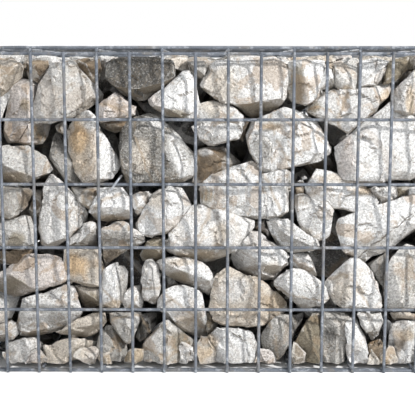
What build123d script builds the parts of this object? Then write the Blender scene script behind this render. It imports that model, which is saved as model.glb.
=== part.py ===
from build123d import *
import math
import os

# Gabion wall of two bays: welded wire baskets side by side, filled with quarry stone.
# X runs along the wall, Y through it with the front at -Y, and Z up.
# The origin is on the ground, under the middle of the wall.
# All sizes are in millimetres. Wires are four-sided bars as wide as the round wire.

# Baskets, measured between the centres of their edge wires
bay_count = 2
bay_length = 1000
basket_height = 500
basket_depth = 300

# Welded mesh
wire = 4.5
face_column_pitch = 50
face_row_pitch = 100
inner_pitch = 100

# Clearances
seat_gap = 0.3
channel_clearance = 1.0

# Helical binders that lace the upright seams
binder_wire = 3.5
binder_pitch = 50
binder_sides = 8
binder_clearance = 0.4

# Bracing ties from the front mesh to the back mesh
tie_wire = 4.0
tie_inset = 225
tie_row = 3
tie_rise = 9.0
tie_reach = 6.5
tie_drop = 9.0
tie_bend = 5.0

# Planes of the face meshes: rails lie inside, uprights outside
face_inner_y = basket_depth / 2 + wire / 2 + seat_gap
face_weld_y = face_inner_y + wire
rail_y = face_inner_y + wire / 2

# Bays and seams along the wall
bay_step = bay_length + wire + seat_gap
first_bay_x = -bay_step * (bay_count - 1) / 2
outer_edge_x = -first_bay_x + bay_length / 2
end_weld_x = outer_edge_x - wire / 2
end_inner_x = end_weld_x - wire

# Wires that a binder laces: one beside the other at a seam between bays, one alone at a corner
seam_half_width = wire + seat_gap / 2
corner_half_width = wire / 2
laced_outer_y = face_weld_y + wire
laced_inner_y = basket_depth / 2 - wire / 2
seam_middle_y = (laced_outer_y + laced_inner_y) / 2
seam_half_depth = (laced_outer_y - laced_inner_y) / 2

# Heights: the side meshes, the base and the lid
mesh_bottom_z = wire / 2
mesh_top_z = basket_height + wire
mesh_middle_z = mesh_top_z / 2
base_weld_z = wire
base_top_z = base_weld_z + wire
lid_weld_z = mesh_top_z + seat_gap + wire

side_names = {-1: "left", 1: "right"}
face_names = {-1: "front", 1: "back"}


def bay_names():
    """Left and right for two bays, and numbers from the left for any other count."""
    if bay_count == 2:
        return ["left", "right"]
    return [str(number + 1) for number in range(bay_count)]


def welded_mesh(weld_plane, width, height, width_pitch, height_pitch):
    """A flat mesh: uprights on the plane's near side, rails on its far side, fused where they cross.

    Width and height are between the centres of the edge wires.
    """
    uprights = round(width / width_pitch) + 1
    rails = round(height / height_pitch) + 1
    with BuildPart() as mesh:
        with BuildSketch(weld_plane):
            with GridLocations(width / (uprights - 1), wire, uprights, 1):
                Rectangle(wire, height + wire)
        extrude(amount=wire)
        with BuildSketch(weld_plane):
            with GridLocations(wire, height / (rails - 1), 1, rails):
                Rectangle(width + wire, wire)
        extrude(amount=-wire)
    return mesh


def face_mesh(bay_x, face):
    """The front or back of a bay. Its uprights are on the outside."""
    plane = Plane(
        origin=(bay_x, face * face_weld_y, mesh_middle_z),
        x_dir=(-face, 0, 0),
        z_dir=(0, face, 0),
    )
    return welded_mesh(plane, bay_length, basket_height, face_column_pitch, face_row_pitch)


def end_mesh(side):
    """The end of the wall, between the front and the back mesh."""
    plane = Plane(
        origin=(side * end_weld_x, 0, mesh_middle_z),
        x_dir=(0, side, 0),
        z_dir=(side, 0, 0),
    )
    return welded_mesh(plane, basket_depth, basket_height, face_column_pitch, face_row_pitch)


def partition_mesh(at_x):
    """The mesh that two neighbouring bays share. Its rails are on the right."""
    plane = Plane(
        origin=(at_x + wire / 2, 0, mesh_middle_z),
        x_dir=(0, -1, 0),
        z_dir=(-1, 0, 0),
    )
    return welded_mesh(plane, basket_depth, basket_height, inner_pitch, face_row_pitch)


def lid_mesh(bay_x):
    """The lid lies on the side meshes, with its cross wires below its long wires."""
    plane = Plane(origin=(bay_x, 0, lid_weld_z), x_dir=(1, 0, 0), z_dir=(0, 0, -1))
    return welded_mesh(plane, bay_length, 2 * rail_y, inner_pitch, inner_pitch)


def bay_interior(index):
    """The clear space in a bay along X, between the inner sides of its end or partition meshes."""
    left = -end_inner_x if index == 0 else seam_x(index) + 1.5 * wire
    right = end_inner_x if index == bay_count - 1 else seam_x(index + 1) - wire / 2
    return left, right


def seam_x(index):
    """Where the seam to the left of a bay is."""
    return first_bay_x + (index - 0.5) * bay_step


def base_mesh(index):
    """The base lies on the ground inside the side meshes."""
    left, right = bay_interior(index)
    plane = Plane(origin=((left + right) / 2, 0, base_weld_z))
    width = right - left - 2 * seat_gap - wire
    return welded_mesh(plane, width, basket_depth, inner_pitch, inner_pitch)


def tie_places(bay_x):
    """The middle of the mesh cell that each tie of a bay passes through."""
    return [bay_x - bay_length / 2 + tie_inset, bay_x + bay_length / 2 - tie_inset]


tie_z = mesh_bottom_z + tie_row * face_row_pitch


def stone_fill(index, bay_x):
    """The packed stone of a bay as one mass.

    Its upright edges stand back from the binders, and each tie has a channel through it.
    """
    left, right = bay_interior(index)
    length = right - left - 2 * seat_gap
    depth = 2 * (face_inner_y - seat_gap)
    bottom = base_top_z + seat_gap
    height = mesh_top_z - bottom
    channel = tie_wire + 2 * channel_clearance
    with BuildPart() as fill:
        with Locations(((left + right) / 2, 0, bottom)):
            Box(length, depth, height, align=(Align.CENTER, Align.CENTER, Align.MIN))
        chamfer(fill.edges().filter_by(Axis.Z), length=math.sqrt(2) * binder_reach(seam_half_width))
        with Locations(*[(x + tie_reach, 0, tie_z + tie_rise) for x in tie_places(bay_x)]):
            Box(channel, depth, channel, mode=Mode.SUBTRACT)
    return fill


def bracing_tie(cell_x):
    """A wire from front to back whose bent ends hook down over a rail of each face mesh."""
    hook_y = face_weld_y + seat_gap + tie_wire / 2
    rod_x = cell_x + tie_reach
    rod_z = tie_z + tie_rise
    tail_x = cell_x - tie_reach
    tail_z = tie_z - tie_drop
    with BuildPart() as tie:
        with BuildLine() as route:
            FilletPolyline(
                (tail_x, -hook_y, tail_z),
                (rod_x, -hook_y, rod_z),
                (rod_x, hook_y, rod_z),
                (tail_x, hook_y, tail_z),
                radius=tie_bend,
            )
        start = route.line
        with BuildSketch(Plane(origin=start @ 0, z_dir=start % 0)):
            Rectangle(tie_wire, tie_wire)
        sweep()
    return tie


def binder_corner_radius(half_width):
    """From the seam's middle to the corners of the binder's centre line, clear of the laced wires."""
    reach = math.hypot(half_width, seam_half_depth)
    flat_radius = reach + binder_clearance + binder_wire / math.sqrt(2)
    return flat_radius / math.cos(math.pi / binder_sides)


def binder_reach(half_width):
    """From the seam's middle to what stands clear of the binder."""
    return binder_corner_radius(half_width) + binder_wire / math.sqrt(2) + binder_clearance


def seam_binder(half_width, face, seam_at):
    """A helical binder around the upright wires of a seam, which are twice half_width wide along X."""
    corner_radius = binder_corner_radius(half_width)
    steps = round(basket_height / binder_pitch * binder_sides)
    rise = (mesh_top_z - binder_wire * 2) / steps
    points = []
    for step in range(steps + 1):
        angle = face * math.pi / 2 + 2 * math.pi * step / binder_sides
        points.append(
            (
                seam_at + corner_radius * math.cos(angle),
                face * seam_middle_y + corner_radius * math.sin(angle),
                binder_wire + rise * step,
            )
        )
    with BuildPart() as binder:
        with BuildLine() as route:
            Polyline(*points)
        start = route.line
        with BuildSketch(Plane(origin=start @ 0, z_dir=start % 0)):
            Rectangle(binder_wire, binder_wire)
        sweep(transition=Transition.RIGHT)
    return binder


def write(part, name):
    """Labels a finished piece and writes it as its own file."""
    part.part.label = name
    export_step(part.part, f"parts/{name}.step")


def main():
    os.makedirs("parts", exist_ok=True)
    names = bay_names()
    for index, name in enumerate(names):
        bay_x = first_bay_x + index * bay_step
        for face, face_name in face_names.items():
            write(face_mesh(bay_x, face), f"{face_name}_mesh_{name}")
        write(lid_mesh(bay_x), f"lid_mesh_{name}")
        write(base_mesh(index), f"base_mesh_{name}")
        write(stone_fill(index, bay_x), f"stone_fill_{name}")
        for number, cell_x in enumerate(tie_places(bay_x), 1):
            write(bracing_tie(cell_x), f"bracing_tie_{name}_{number}")
    for side, name in side_names.items():
        write(end_mesh(side), f"end_mesh_{name}")
        for face, face_name in face_names.items():
            corner = seam_binder(corner_half_width, face, side * outer_edge_x)
            write(corner, f"{face_name}_corner_binder_{name}")
    for index in range(1, bay_count):
        number = "" if bay_count == 2 else f"_{index}"
        write(partition_mesh(seam_x(index)), f"partition_mesh{number}")
        for face, face_name in face_names.items():
            seam = seam_binder(seam_half_width, face, seam_x(index))
            write(seam, f"{face_name}_seam_binder{number}")


main()
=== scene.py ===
import math
import random

import bmesh
import bpy
import numpy as np
from mathutils import Euler, Matrix, Vector, bvhtree, noise


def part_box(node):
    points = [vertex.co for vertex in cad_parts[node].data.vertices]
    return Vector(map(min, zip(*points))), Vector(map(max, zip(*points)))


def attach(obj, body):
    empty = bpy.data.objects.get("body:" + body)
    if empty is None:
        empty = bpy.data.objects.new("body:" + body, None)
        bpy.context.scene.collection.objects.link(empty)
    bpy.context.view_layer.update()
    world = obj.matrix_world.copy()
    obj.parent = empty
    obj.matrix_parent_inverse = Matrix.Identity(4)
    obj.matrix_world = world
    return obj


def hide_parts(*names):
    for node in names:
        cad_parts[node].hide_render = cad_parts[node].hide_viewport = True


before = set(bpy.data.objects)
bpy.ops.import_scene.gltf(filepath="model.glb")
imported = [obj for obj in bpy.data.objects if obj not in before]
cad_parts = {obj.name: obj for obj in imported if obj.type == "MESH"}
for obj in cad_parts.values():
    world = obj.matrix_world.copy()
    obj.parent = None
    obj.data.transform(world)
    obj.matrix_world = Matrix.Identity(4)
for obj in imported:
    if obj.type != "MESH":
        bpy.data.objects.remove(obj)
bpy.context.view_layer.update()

# Gabion wall of two bays: welded wire baskets full of broken limestone.
# X runs along the wall, Y through it with the front at -Y, Z up from the ground. Metres.

print("gabion wall: camera, floor and light")

viewPoint = {
    "frameSize": 415.0,                    # the picture is square, in pixels
    "focalPixels": 900.0,
    "place": (0.3734, -1.5400, 0.48025),
    "pitch": -8.79,                        # degrees
    "yaw": 0.10,
    "roll": 0.05,
    "sensorWidth": 36.0,
    "nearest": 0.01,
    "furthest": 50.0,
}

studio = {
    "lamps": {                             # place, aim, size across, power, colour
        "keyLight": ((2.60, -2.10, 2.45), (0.35, 0.0, 0.20), 0.32, 186.0, (1.0, 0.985, 0.96)),
        "fillLight": ((-2.6, -2.4, 1.5), (0.0, 0.0, 0.25), 2.6, 14.0, (0.95, 0.975, 1.0)),
        "backLight": ((-1.2, 3.0, 2.2), (0.0, 0.0, 0.25), 2.6, 90.0, (1.0, 1.0, 1.0)),
    },
    "worldLight": 0.92,
    "worldColour": (0.93, 0.96, 1.0, 1.0),
    "floorColour": (0.86, 0.86, 0.86, 1.0),
    "floorRoughness": 0.9,
    "floorShine": 0.1,
    "floorReach": 14.0,                    # from the middle to each side
    "whiteFrom": 1.6,                      # further out than this the floor runs into white
    "whiteTo": 4.2,
}

scene = bpy.context.scene
scene.view_settings.view_transform = "Standard"


def addNode(tree, kind, inputs=None, **settings):
    made = tree.nodes.new(kind)
    for key, value in settings.items():
        setattr(made, key, value)
    for key, value in (inputs or {}).items():
        if isinstance(value, bpy.types.NodeSocket):
            tree.links.new(value, made.inputs[key])
        else:
            made.inputs[key].default_value = value
    return made


def firstOf(tree, kind, inputs=None, **settings):
    # Adds a node and gives its first output
    return addNode(tree, kind, inputs, **settings).outputs[0]


def combined(tree, way, first, second, third=None):
    inputs = {0: first, 1: second}
    if third is not None:
        inputs[2] = third
    return firstOf(tree, "ShaderNodeMath", inputs, operation=way)


def crossed(tree, way, first, second):
    # The same with directions or places, for the ways that give one again
    return firstOf(tree, "ShaderNodeVectorMath", {0: first, 1: second}, operation=way)


def mapped(tree, value, low, high, outLow=0.0, outHigh=1.0):
    # A soft step from one number to another
    return addNode(tree, "ShaderNodeMapRange", {
        "Value": value, "From Min": low, "From Max": high, "To Min": outLow, "To Max": outHigh,
    }, interpolation_type="SMOOTHSTEP").outputs["Result"]


def newMaterial(name):
    material = bpy.data.materials.new(name)
    material.use_nodes = True
    return material, material.node_tree, material.node_tree.nodes["Principled BSDF"]


def makeCamera():
    camera = bpy.data.objects.new("camera", bpy.data.cameras.new("camera"))
    scene.collection.objects.link(camera)
    camera.data.sensor_width = viewPoint["sensorWidth"]
    camera.data.lens = viewPoint["focalPixels"] * viewPoint["sensorWidth"] / viewPoint["frameSize"]
    camera.data.clip_start = viewPoint["nearest"]
    camera.data.clip_end = viewPoint["furthest"]
    turn = (
        Matrix.Rotation(math.radians(viewPoint["yaw"]), 4, "Z")
        @ Matrix.Rotation(math.radians(90 + viewPoint["pitch"]), 4, "X")
        @ Matrix.Rotation(math.radians(viewPoint["roll"]), 4, "Z")
    )
    camera.matrix_world = Matrix.Translation(viewPoint["place"]) @ turn
    scene.camera = camera
    return turn.to_3x3()


def makeFloor():
    mesh = bpy.data.meshes.new("floor")
    reach = studio["floorReach"]
    mesh.from_pydata([(-reach, -reach, 0), (reach, -reach, 0), (reach, reach, 0), (-reach, reach, 0)],
                     [], [(0, 1, 2, 3)])
    floor = bpy.data.objects.new("floor", mesh)
    scene.collection.objects.link(floor)
    paint, tree, shader = newMaterial("paleFloor")
    shader.inputs["Base Color"].default_value = studio["floorColour"]
    shader.inputs["Roughness"].default_value = studio["floorRoughness"]
    shader.inputs["Specular IOR Level"].default_value = studio["floorShine"]
    place = addNode(tree, "ShaderNodeTexCoord").outputs["Object"]
    distance = addNode(tree, "ShaderNodeVectorMath", {0: place}, operation="LENGTH").outputs["Value"]
    far = mapped(tree, distance, studio["whiteFrom"], studio["whiteTo"])
    ray = addNode(tree, "ShaderNodeLightPath").outputs
    faded = combined(tree, "MULTIPLY", far, ray["Is Camera Ray"])
    white = firstOf(tree, "ShaderNodeEmission", {"Color": (1, 1, 1, 1), "Strength": 1.0})
    either = firstOf(tree, "ShaderNodeMixShader", {0: faded, 1: shader.outputs[0], 2: white})
    tree.links.new(either, tree.nodes["Material Output"].inputs["Surface"])
    mesh.materials.append(paint)


def makeWorld():
    # Plain light all round, and a white background for what sees it directly or in the zinc
    world = bpy.data.worlds.new("studioWorld")
    scene.world = world
    world.use_nodes = True
    tree = world.node_tree
    tree.nodes.clear()
    ray = addNode(tree, "ShaderNodeLightPath").outputs
    seen = combined(tree, "MAXIMUM", ray["Is Camera Ray"], ray["Is Glossy Ray"])
    seen = combined(tree, "MAXIMUM", seen, ray["Is Transmission Ray"])
    light = firstOf(tree, "ShaderNodeBackground", {
        "Color": studio["worldColour"], "Strength": studio["worldLight"]})
    white = firstOf(tree, "ShaderNodeBackground", {"Color": (1, 1, 1, 1), "Strength": 1.0})
    either = firstOf(tree, "ShaderNodeMixShader", {0: seen, 1: light, 2: white})
    addNode(tree, "ShaderNodeOutputWorld", {"Surface": either})


def addLamp(name, place, aim, size, power, colour):
    lamp = bpy.data.lights.new(name, "AREA")
    lamp.shape = "DISK"
    lamp.size = size
    lamp.energy = power
    lamp.color = colour
    holder = bpy.data.objects.new(name, lamp)
    scene.collection.objects.link(holder)
    holder.location = place
    holder.rotation_euler = (Vector(aim) - Vector(place)).to_track_quat("-Z", "Y").to_euler()


cameraTurn = makeCamera()
makeFloor()
makeWorld()
for lampName, lampFacts in studio["lamps"].items():
    addLamp(lampName, *lampFacts)

bayBoxes = {
    "left": [np.array(corner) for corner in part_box("stone_fill_left")],
    "right": [np.array(corner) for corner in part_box("stone_fill_right")],
}
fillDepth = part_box("stone_fill_right")[1].y      # from the wall's middle plane to its outermost stones
pixelSize = (viewPoint["place"][1] + fillDepth) / -viewPoint["focalPixels"]


def pictureRay(across, down):
    # The direction from the camera through a point of the picture, in pixels
    half, focal = viewPoint["frameSize"] / 2, viewPoint["focalPixels"]
    return cameraTurn @ Vector(((across - half) / focal, (half - down) / focal, -1.0))


def fromPixel(across, down, depth):
    # Where that ray meets the upright plane this far behind the mesh
    ray = pictureRay(across, down)
    start = Vector(viewPoint["place"])
    return start + ray * ((depth - fillDepth - start.y) / ray.y)


def toPicture(points):
    # Where points stand in the picture, in pixels
    seen = (points - np.array(viewPoint["place"])) @ np.array(cameraTurn)
    half, focal = viewPoint["frameSize"] / 2, viewPoint["focalPixels"]
    return np.stack([half - focal * seen[:, 0] / seen[:, 2], half + focal * seen[:, 1] / seen[:, 2]], 1)


def lineInPicture(points, line):
    # Distance from the plane through the camera and two points of the picture
    start, end = (pictureRay(*point) for point in line)
    normal = start.cross(end).normalized()
    return (points - np.array(viewPoint["place"])) @ np.array(normal)


print("gabion wall: materials")

patternMaking = {
    "blotchDetail": 5.0,
    "blotchRange": (0.38, 0.62),                 # of the noise, stretched from darkest to lightest
    "drift": dict(perMetre=45.0, detail=4.0),    # how a line wanders, and where it breaks off
    "gaps": dict(perMetre=80.0, detail=3.0),
    "gapFade": 0.12,
}


def mixed(tree, factor, first, second, way="MIX"):
    # Inputs 6 and 7 and output 2 are the ones for colours
    return addNode(tree, "ShaderNodeMix", {0: factor, 6: first, 7: second},
                   data_type="RGBA", blend_type=way, clamp_factor=True).outputs[2]


def toned(tree, colour, amount):
    # Brightens or darkens a colour by a plain factor
    grey = firstOf(tree, "ShaderNodeCombineColor", {0: amount, 1: amount, 2: amount})
    return mixed(tree, 1.0, colour, grey, "MULTIPLY")


def noiseAt(tree, place, perMetre, detail, roughness=0.5, distortion=0.0):
    return addNode(tree, "ShaderNodeTexNoise", {
        "Vector": place, "Scale": perMetre, "Detail": detail,
        "Roughness": roughness, "Distortion": distortion,
    }).outputs["Fac"]


def newGroup(treeKind, name, sockets, output):
    # A node group with named inputs, each (name, kind, value), and one output, (name, kind)
    group = bpy.data.node_groups.new(name, treeKind)
    for label, kind, value in sockets:
        socket = group.interface.new_socket(label, in_out="INPUT", socket_type="NodeSocket" + kind)
        if value is not None:
            socket.default_value = value
    group.interface.new_socket(output[0], in_out="OUTPUT", socket_type="NodeSocket" + output[1])
    return group, addNode(group, "NodeGroupInput").outputs


def makeMottleGroup():
    # Soft blotches of a given size: how much to brighten or darken at each place
    group, given = newGroup("ShaderNodeTree", "mottle", [
        ("Place", "Vector", None), ("Blotches Per Metre", "Float", 30.0), ("Roughness", "Float", 0.6),
        ("Distortion", "Float", 0.0), ("Darkest", "Float", 0.8), ("Lightest", "Float", 1.1),
    ], ("Amount", "Float"))
    blotches = noiseAt(group, given["Place"], given["Blotches Per Metre"], patternMaking["blotchDetail"],
                       given["Roughness"], given["Distortion"])
    low, high = patternMaking["blotchRange"]
    amount = firstOf(group, "ShaderNodeMapRange", {
        "Value": blotches, "From Min": low, "From Max": high,
        "To Min": given["Darkest"], "To Max": given["Lightest"],
    })
    addNode(group, "NodeGroupOutput", {"Amount": amount})
    return group


def makeLineGroup():
    # A thin wandering line where a distance passes through zero
    group, given = newGroup("ShaderNodeTree", "thinLine", [
        ("Place", "Vector", None), ("Distance", "Float", 1.0), ("Wander", "Float", 0.006),
        ("Width", "Float", 0.003), ("Breaks", "Float", 0.45),
    ], ("Line", "Float"))
    drift = combined(group, "SUBTRACT", noiseAt(group, given["Place"], **patternMaking["drift"]), 0.5)
    moved = combined(group, "MULTIPLY_ADD", drift, given["Wander"], given["Distance"])
    near = mapped(group, combined(group, "ABSOLUTE", moved, 0.0), 0.0, given["Width"], 1.0, 0.0)
    gaps = noiseAt(group, given["Place"], **patternMaking["gaps"])
    whole = combined(group, "ADD", given["Breaks"], patternMaking["gapFade"])
    kept = mapped(group, gaps, given["Breaks"], whole)
    addNode(group, "NodeGroupOutput", {"Line": combined(group, "MULTIPLY", near, kept)})
    return group


mottle = makeMottleGroup()
thinLine = makeLineGroup()


def mottled(tree, place, perMetre, roughness, darkest=0.0, lightest=1.0, distortion=0.0):
    return firstOf(tree, "ShaderNodeGroup", {
        "Place": place, "Blotches Per Metre": perMetre, "Roughness": roughness,
        "Distortion": distortion, "Darkest": darkest, "Lightest": lightest,
    }, node_tree=mottle)


def lined(tree, place, distance, wander, width, breaks):
    return firstOf(tree, "ShaderNodeGroup", {
        "Place": place, "Distance": distance, "Wander": wander, "Width": width, "Breaks": breaks,
    }, node_tree=thinLine)


limestoneLook = {
    "stain": (0.34, 0.235, 0.14, 1),
    "vein": (0.36, 0.285, 0.205, 1),
    "crack": (0.085, 0.072, 0.06, 1),
    # dark brown: dirt in the pits, and painted shade in hollows and on faces that turn downward
    "grimeAndShade": (0.20, 0.165, 0.12, 1),
    "speck": (0.075, 0.07, 0.062, 1),
    "fresh": (0.82, 0.80, 0.765, 1),
    # blotches and grains, by how many there are to a metre
    "broad": dict(perMetre=24.0, roughness=0.55, distortion=0.4, darkest=0.93, lightest=1.03),
    "fine": dict(perMetre=310.0, roughness=0.85, darkest=0.49, lightest=1.15),
    "rust": dict(perMetre=19.0, roughness=0.62, distortion=1.1),
    "clusters": dict(perMetre=42.0, roughness=0.6),
    "grains": dict(perMetre=340.0, detail=4.0, roughness=0.7),
    "holes": dict(perMetre=320.0, detail=2.0, roughness=0.55, distortion=0.6),
    "bedding": (9.0, 11.0, 170.0),         # the beds are thin in one direction and long in the others
    "beds": dict(perMetre=1.0, detail=4.0, roughness=0.6, distortion=0.8),
    "veinLine": dict(wander=0.011, width=0.0042, breaks=0.34),
    "crackLine": dict(wander=0.012, width=0.0014, breaks=0.40),
    # where a pattern starts and is complete, and how much of its colour shows there
    "streaks": (0.50, 0.72, 0.0, 0.38),
    "stains": (0.62, 0.88, 0.0, 0.75),
    "darkGrains": (0.49, 0.60, 0.0, 0.8),
    "clustered": (0.0, 1.0, 0.4, 1.0),
    "lightGrains": (0.46, 0.38, 0.0, 0.42),
    "pits": (0.565, 0.625, 0.0, 0.66),
    "veins": 0.62,
    "cracks": 0.85,
    "crests": (0.03, 0.22, 0.0, 0.42),
    # painted shade: concave places, where the ridge value is below zero, get darker
    "hollowShade": (-0.03, -0.18, 0.0, 0.35),
    # painted shade: faces that turn downward get darker and browner
    "underShade": (-0.15, -0.8, 0.0, 0.62),
    "sheen": (0.7, 1.16, 1.0, 0.88),       # roughness of the darkest and the lightest blotches
    "shine": 0.12,
    # relief in metres
    "rough": (dict(perMetre=400.0, detail=3.0, roughness=0.68), 0.0024),
    "grit": (dict(perMetre=700.0, detail=2.0, roughness=0.6), 0.0012),
    "facets": ((110.0, 0.05), (280.0, 0.22)),    # how many to a metre, and how much they lean
    "bedSteps": 0.0014,
    "crackDepth": -0.0016,
    "pitDepth": -0.0008,
}


def limestonePatterns(tree):
    # Every pattern once, because colour and relief share them; the attributes are made with the stones
    def read(name, output):
        return addNode(tree, "ShaderNodeAttribute", attribute_name=name).outputs[output]

    look = limestoneLook
    own = read("grain", "Vector")
    finish = addNode(tree, "ShaderNodeSeparateColor", {0: read("finish", "Color")}).outputs
    lines = addNode(tree, "ShaderNodeSeparateXYZ", {0: read("lines", "Vector")}).outputs
    bedded = crossed(tree, "MULTIPLY", own, look["bedding"])
    clusters = mottled(tree, own, **look["clusters"])
    pits = mapped(tree, noiseAt(tree, own, **look["holes"]), *look["pits"])
    return {
        "own": own,
        "tint": read("tint", "Color"),
        "ridge": read("ridge", "Fac"),
        "speckled": finish["Red"],
        "bedded": finish["Green"],
        "rusty": finish["Blue"],
        "broad": mottled(tree, own, **look["broad"]),
        "fine": mottled(tree, own, **look["fine"]),
        "rust": mottled(tree, own, **look["rust"]),
        "beds": noiseAt(tree, bedded, **look["beds"]),
        "grains": noiseAt(tree, own, **look["grains"]),
        "clusters": clusters,
        "pits": combined(tree, "MULTIPLY", pits, clusters),
        "vein": lined(tree, own, lines["X"], **look["veinLine"]),
        "crack": lined(tree, own, lines["Y"], **look["crackLine"]),
    }


def limestoneColour(tree, pattern):
    look = limestoneLook

    def share(value, limits, amount):
        return combined(tree, "MULTIPLY", mapped(tree, value, *look[limits]), amount)

    facing = addNode(tree, "ShaderNodeNewGeometry").outputs["Normal"]
    upwards = addNode(tree, "ShaderNodeSeparateXYZ", {0: facing}).outputs["Z"]
    dark = share(pattern["grains"], "darkGrains", pattern["speckled"])
    dark = share(pattern["clusters"], "clustered", dark)
    colour = toned(tree, pattern["tint"], combined(tree, "MULTIPLY", pattern["broad"], pattern["fine"]))
    for amount, over in (
        (share(pattern["beds"], "streaks", pattern["bedded"]), "vein"),
        (share(pattern["rust"], "stains", pattern["rusty"]), "stain"),
        (dark, "speck"),
        (share(pattern["grains"], "lightGrains", pattern["speckled"]), "fresh"),
        (pattern["pits"], "grimeAndShade"),
        (combined(tree, "MULTIPLY", pattern["vein"], look["veins"]), "vein"),
        (combined(tree, "MULTIPLY", pattern["crack"], look["cracks"]), "crack"),
        (share(pattern["ridge"], "crests", pattern["fine"]), "fresh"),
        # painted shade in hollows and creases
        (mapped(tree, pattern["ridge"], *look["hollowShade"]), "grimeAndShade"),
        # painted shade on faces that turn downward
        (share(upwards, "underShade", pattern["broad"]), "grimeAndShade"),
    ):
        colour = mixed(tree, amount, colour, look[over])
    return colour


def limestoneRelief(tree, pattern):
    look = limestoneLook
    own = pattern["own"]
    height = 0.0
    for key in ("rough", "grit"):
        kind, depth = look[key]
        height = combined(tree, "MULTIPLY_ADD", noiseAt(tree, own, **kind), depth, height)
    for perMetre, lean in look["facets"]:
        cell = addNode(tree, "ShaderNodeTexVoronoi", {"Vector": own, "Scale": perMetre}, feature="F1").outputs
        away = crossed(tree, "SUBTRACT", own, cell["Position"])
        slope = crossed(tree, "SUBTRACT", cell["Color"], (0.5, 0.5, 0.5))
        rise = addNode(tree, "ShaderNodeVectorMath", {0: away, 1: slope}, operation="DOT_PRODUCT")
        height = combined(tree, "MULTIPLY_ADD", rise.outputs["Value"], lean, height)
    beds = combined(tree, "MULTIPLY", pattern["beds"], pattern["bedded"])
    for mask, depth in ((beds, "bedSteps"), (pattern["crack"], "crackDepth"), (pattern["pits"], "pitDepth")):
        height = combined(tree, "MULTIPLY_ADD", mask, look[depth], height)
    return firstOf(tree, "ShaderNodeBump", {"Strength": 1.0, "Distance": 1.0, "Height": height})


def makeLimestone():
    material, tree, shader = newMaterial("brokenLimestone")
    pattern = limestonePatterns(tree)
    tree.links.new(limestoneColour(tree, pattern), shader.inputs["Base Color"])
    tree.links.new(mapped(tree, pattern["fine"], *limestoneLook["sheen"]), shader.inputs["Roughness"])
    shader.inputs["Specular IOR Level"].default_value = limestoneLook["shine"]
    tree.links.new(limestoneRelief(tree, pattern), shader.inputs["Normal"])
    return material


zincLook = {
    "mesh": dict(dull=(0.082, 0.094, 0.114, 1), bright=(0.150, 0.166, 0.193, 1), metal=0.30, rough=0.33),
    "binder": dict(dull=(0.22, 0.24, 0.27, 1), bright=(0.34, 0.365, 0.40, 1), metal=0.70, rough=0.42),
    "dirt": (0.16, 0.145, 0.125, 1),
    "bloom": (0.56, 0.58, 0.61, 1),
    "clouds": dict(perMetre=46.0, roughness=0.6),
    "grain": dict(perMetre=330.0, roughness=0.6, darkest=0.86, lightest=1.1),
    "dirtPatches": dict(perMetre=17.0, roughness=0.7, distortion=0.8),
    "dirtShown": (0.62, 0.9, 0.0, 0.5),
    "bloomPatches": dict(perMetre=75.0, roughness=0.7),
    "bloomShown": (0.68, 0.88, 0.0, 0.28),
    "coveredMetal": 0.35,                  # how metallic dirt and bloom leave it, as a share
    "duller": 0.07,                        # rougher than its roughness where dull, and smoother where bright
    "brighter": 0.05,
    "ripples": (dict(perMetre=240.0, detail=3.0), 0.0006),
    "bump": 0.6,
}


def makeZinc(name, dull, bright, metal, rough):
    # Hot-dip zinc: blotched grey-blue, dull, with pale bloom and a little dirt
    look = zincLook
    material, tree, shader = newMaterial(name)
    place = addNode(tree, "ShaderNodeTexCoord").outputs["Object"]
    clouds = mottled(tree, place, **look["clouds"])
    dirt = mapped(tree, mottled(tree, place, **look["dirtPatches"]), *look["dirtShown"])
    bloom = mapped(tree, mottled(tree, place, **look["bloomPatches"]), *look["bloomShown"])
    colour = toned(tree, mixed(tree, clouds, dull, bright), mottled(tree, place, **look["grain"]))
    colour = mixed(tree, dirt, colour, look["dirt"])
    colour = mixed(tree, bloom, colour, look["bloom"])
    tree.links.new(colour, shader.inputs["Base Color"])
    covered = combined(tree, "MAXIMUM", dirt, bloom)
    tree.links.new(mapped(tree, covered, 0.0, 0.5, metal, metal * look["coveredMetal"]),
                   shader.inputs["Metallic"])
    tree.links.new(mapped(tree, clouds, 0.0, 1.0, rough + look["duller"], rough - look["brighter"]),
                   shader.inputs["Roughness"])
    ripples, depth = look["ripples"]
    height = combined(tree, "MULTIPLY", noiseAt(tree, place, **ripples), depth)
    bump = firstOf(tree, "ShaderNodeBump", {"Strength": look["bump"], "Distance": 1.0, "Height": height})
    tree.links.new(bump, shader.inputs["Normal"])
    return material


limestone = makeLimestone()
meshZinc = makeZinc("galvanisedMesh", **zincLook["mesh"])
binderZinc = makeZinc("galvanisedBinder", **zincLook["binder"])


print("gabion wall: stones")
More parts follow.
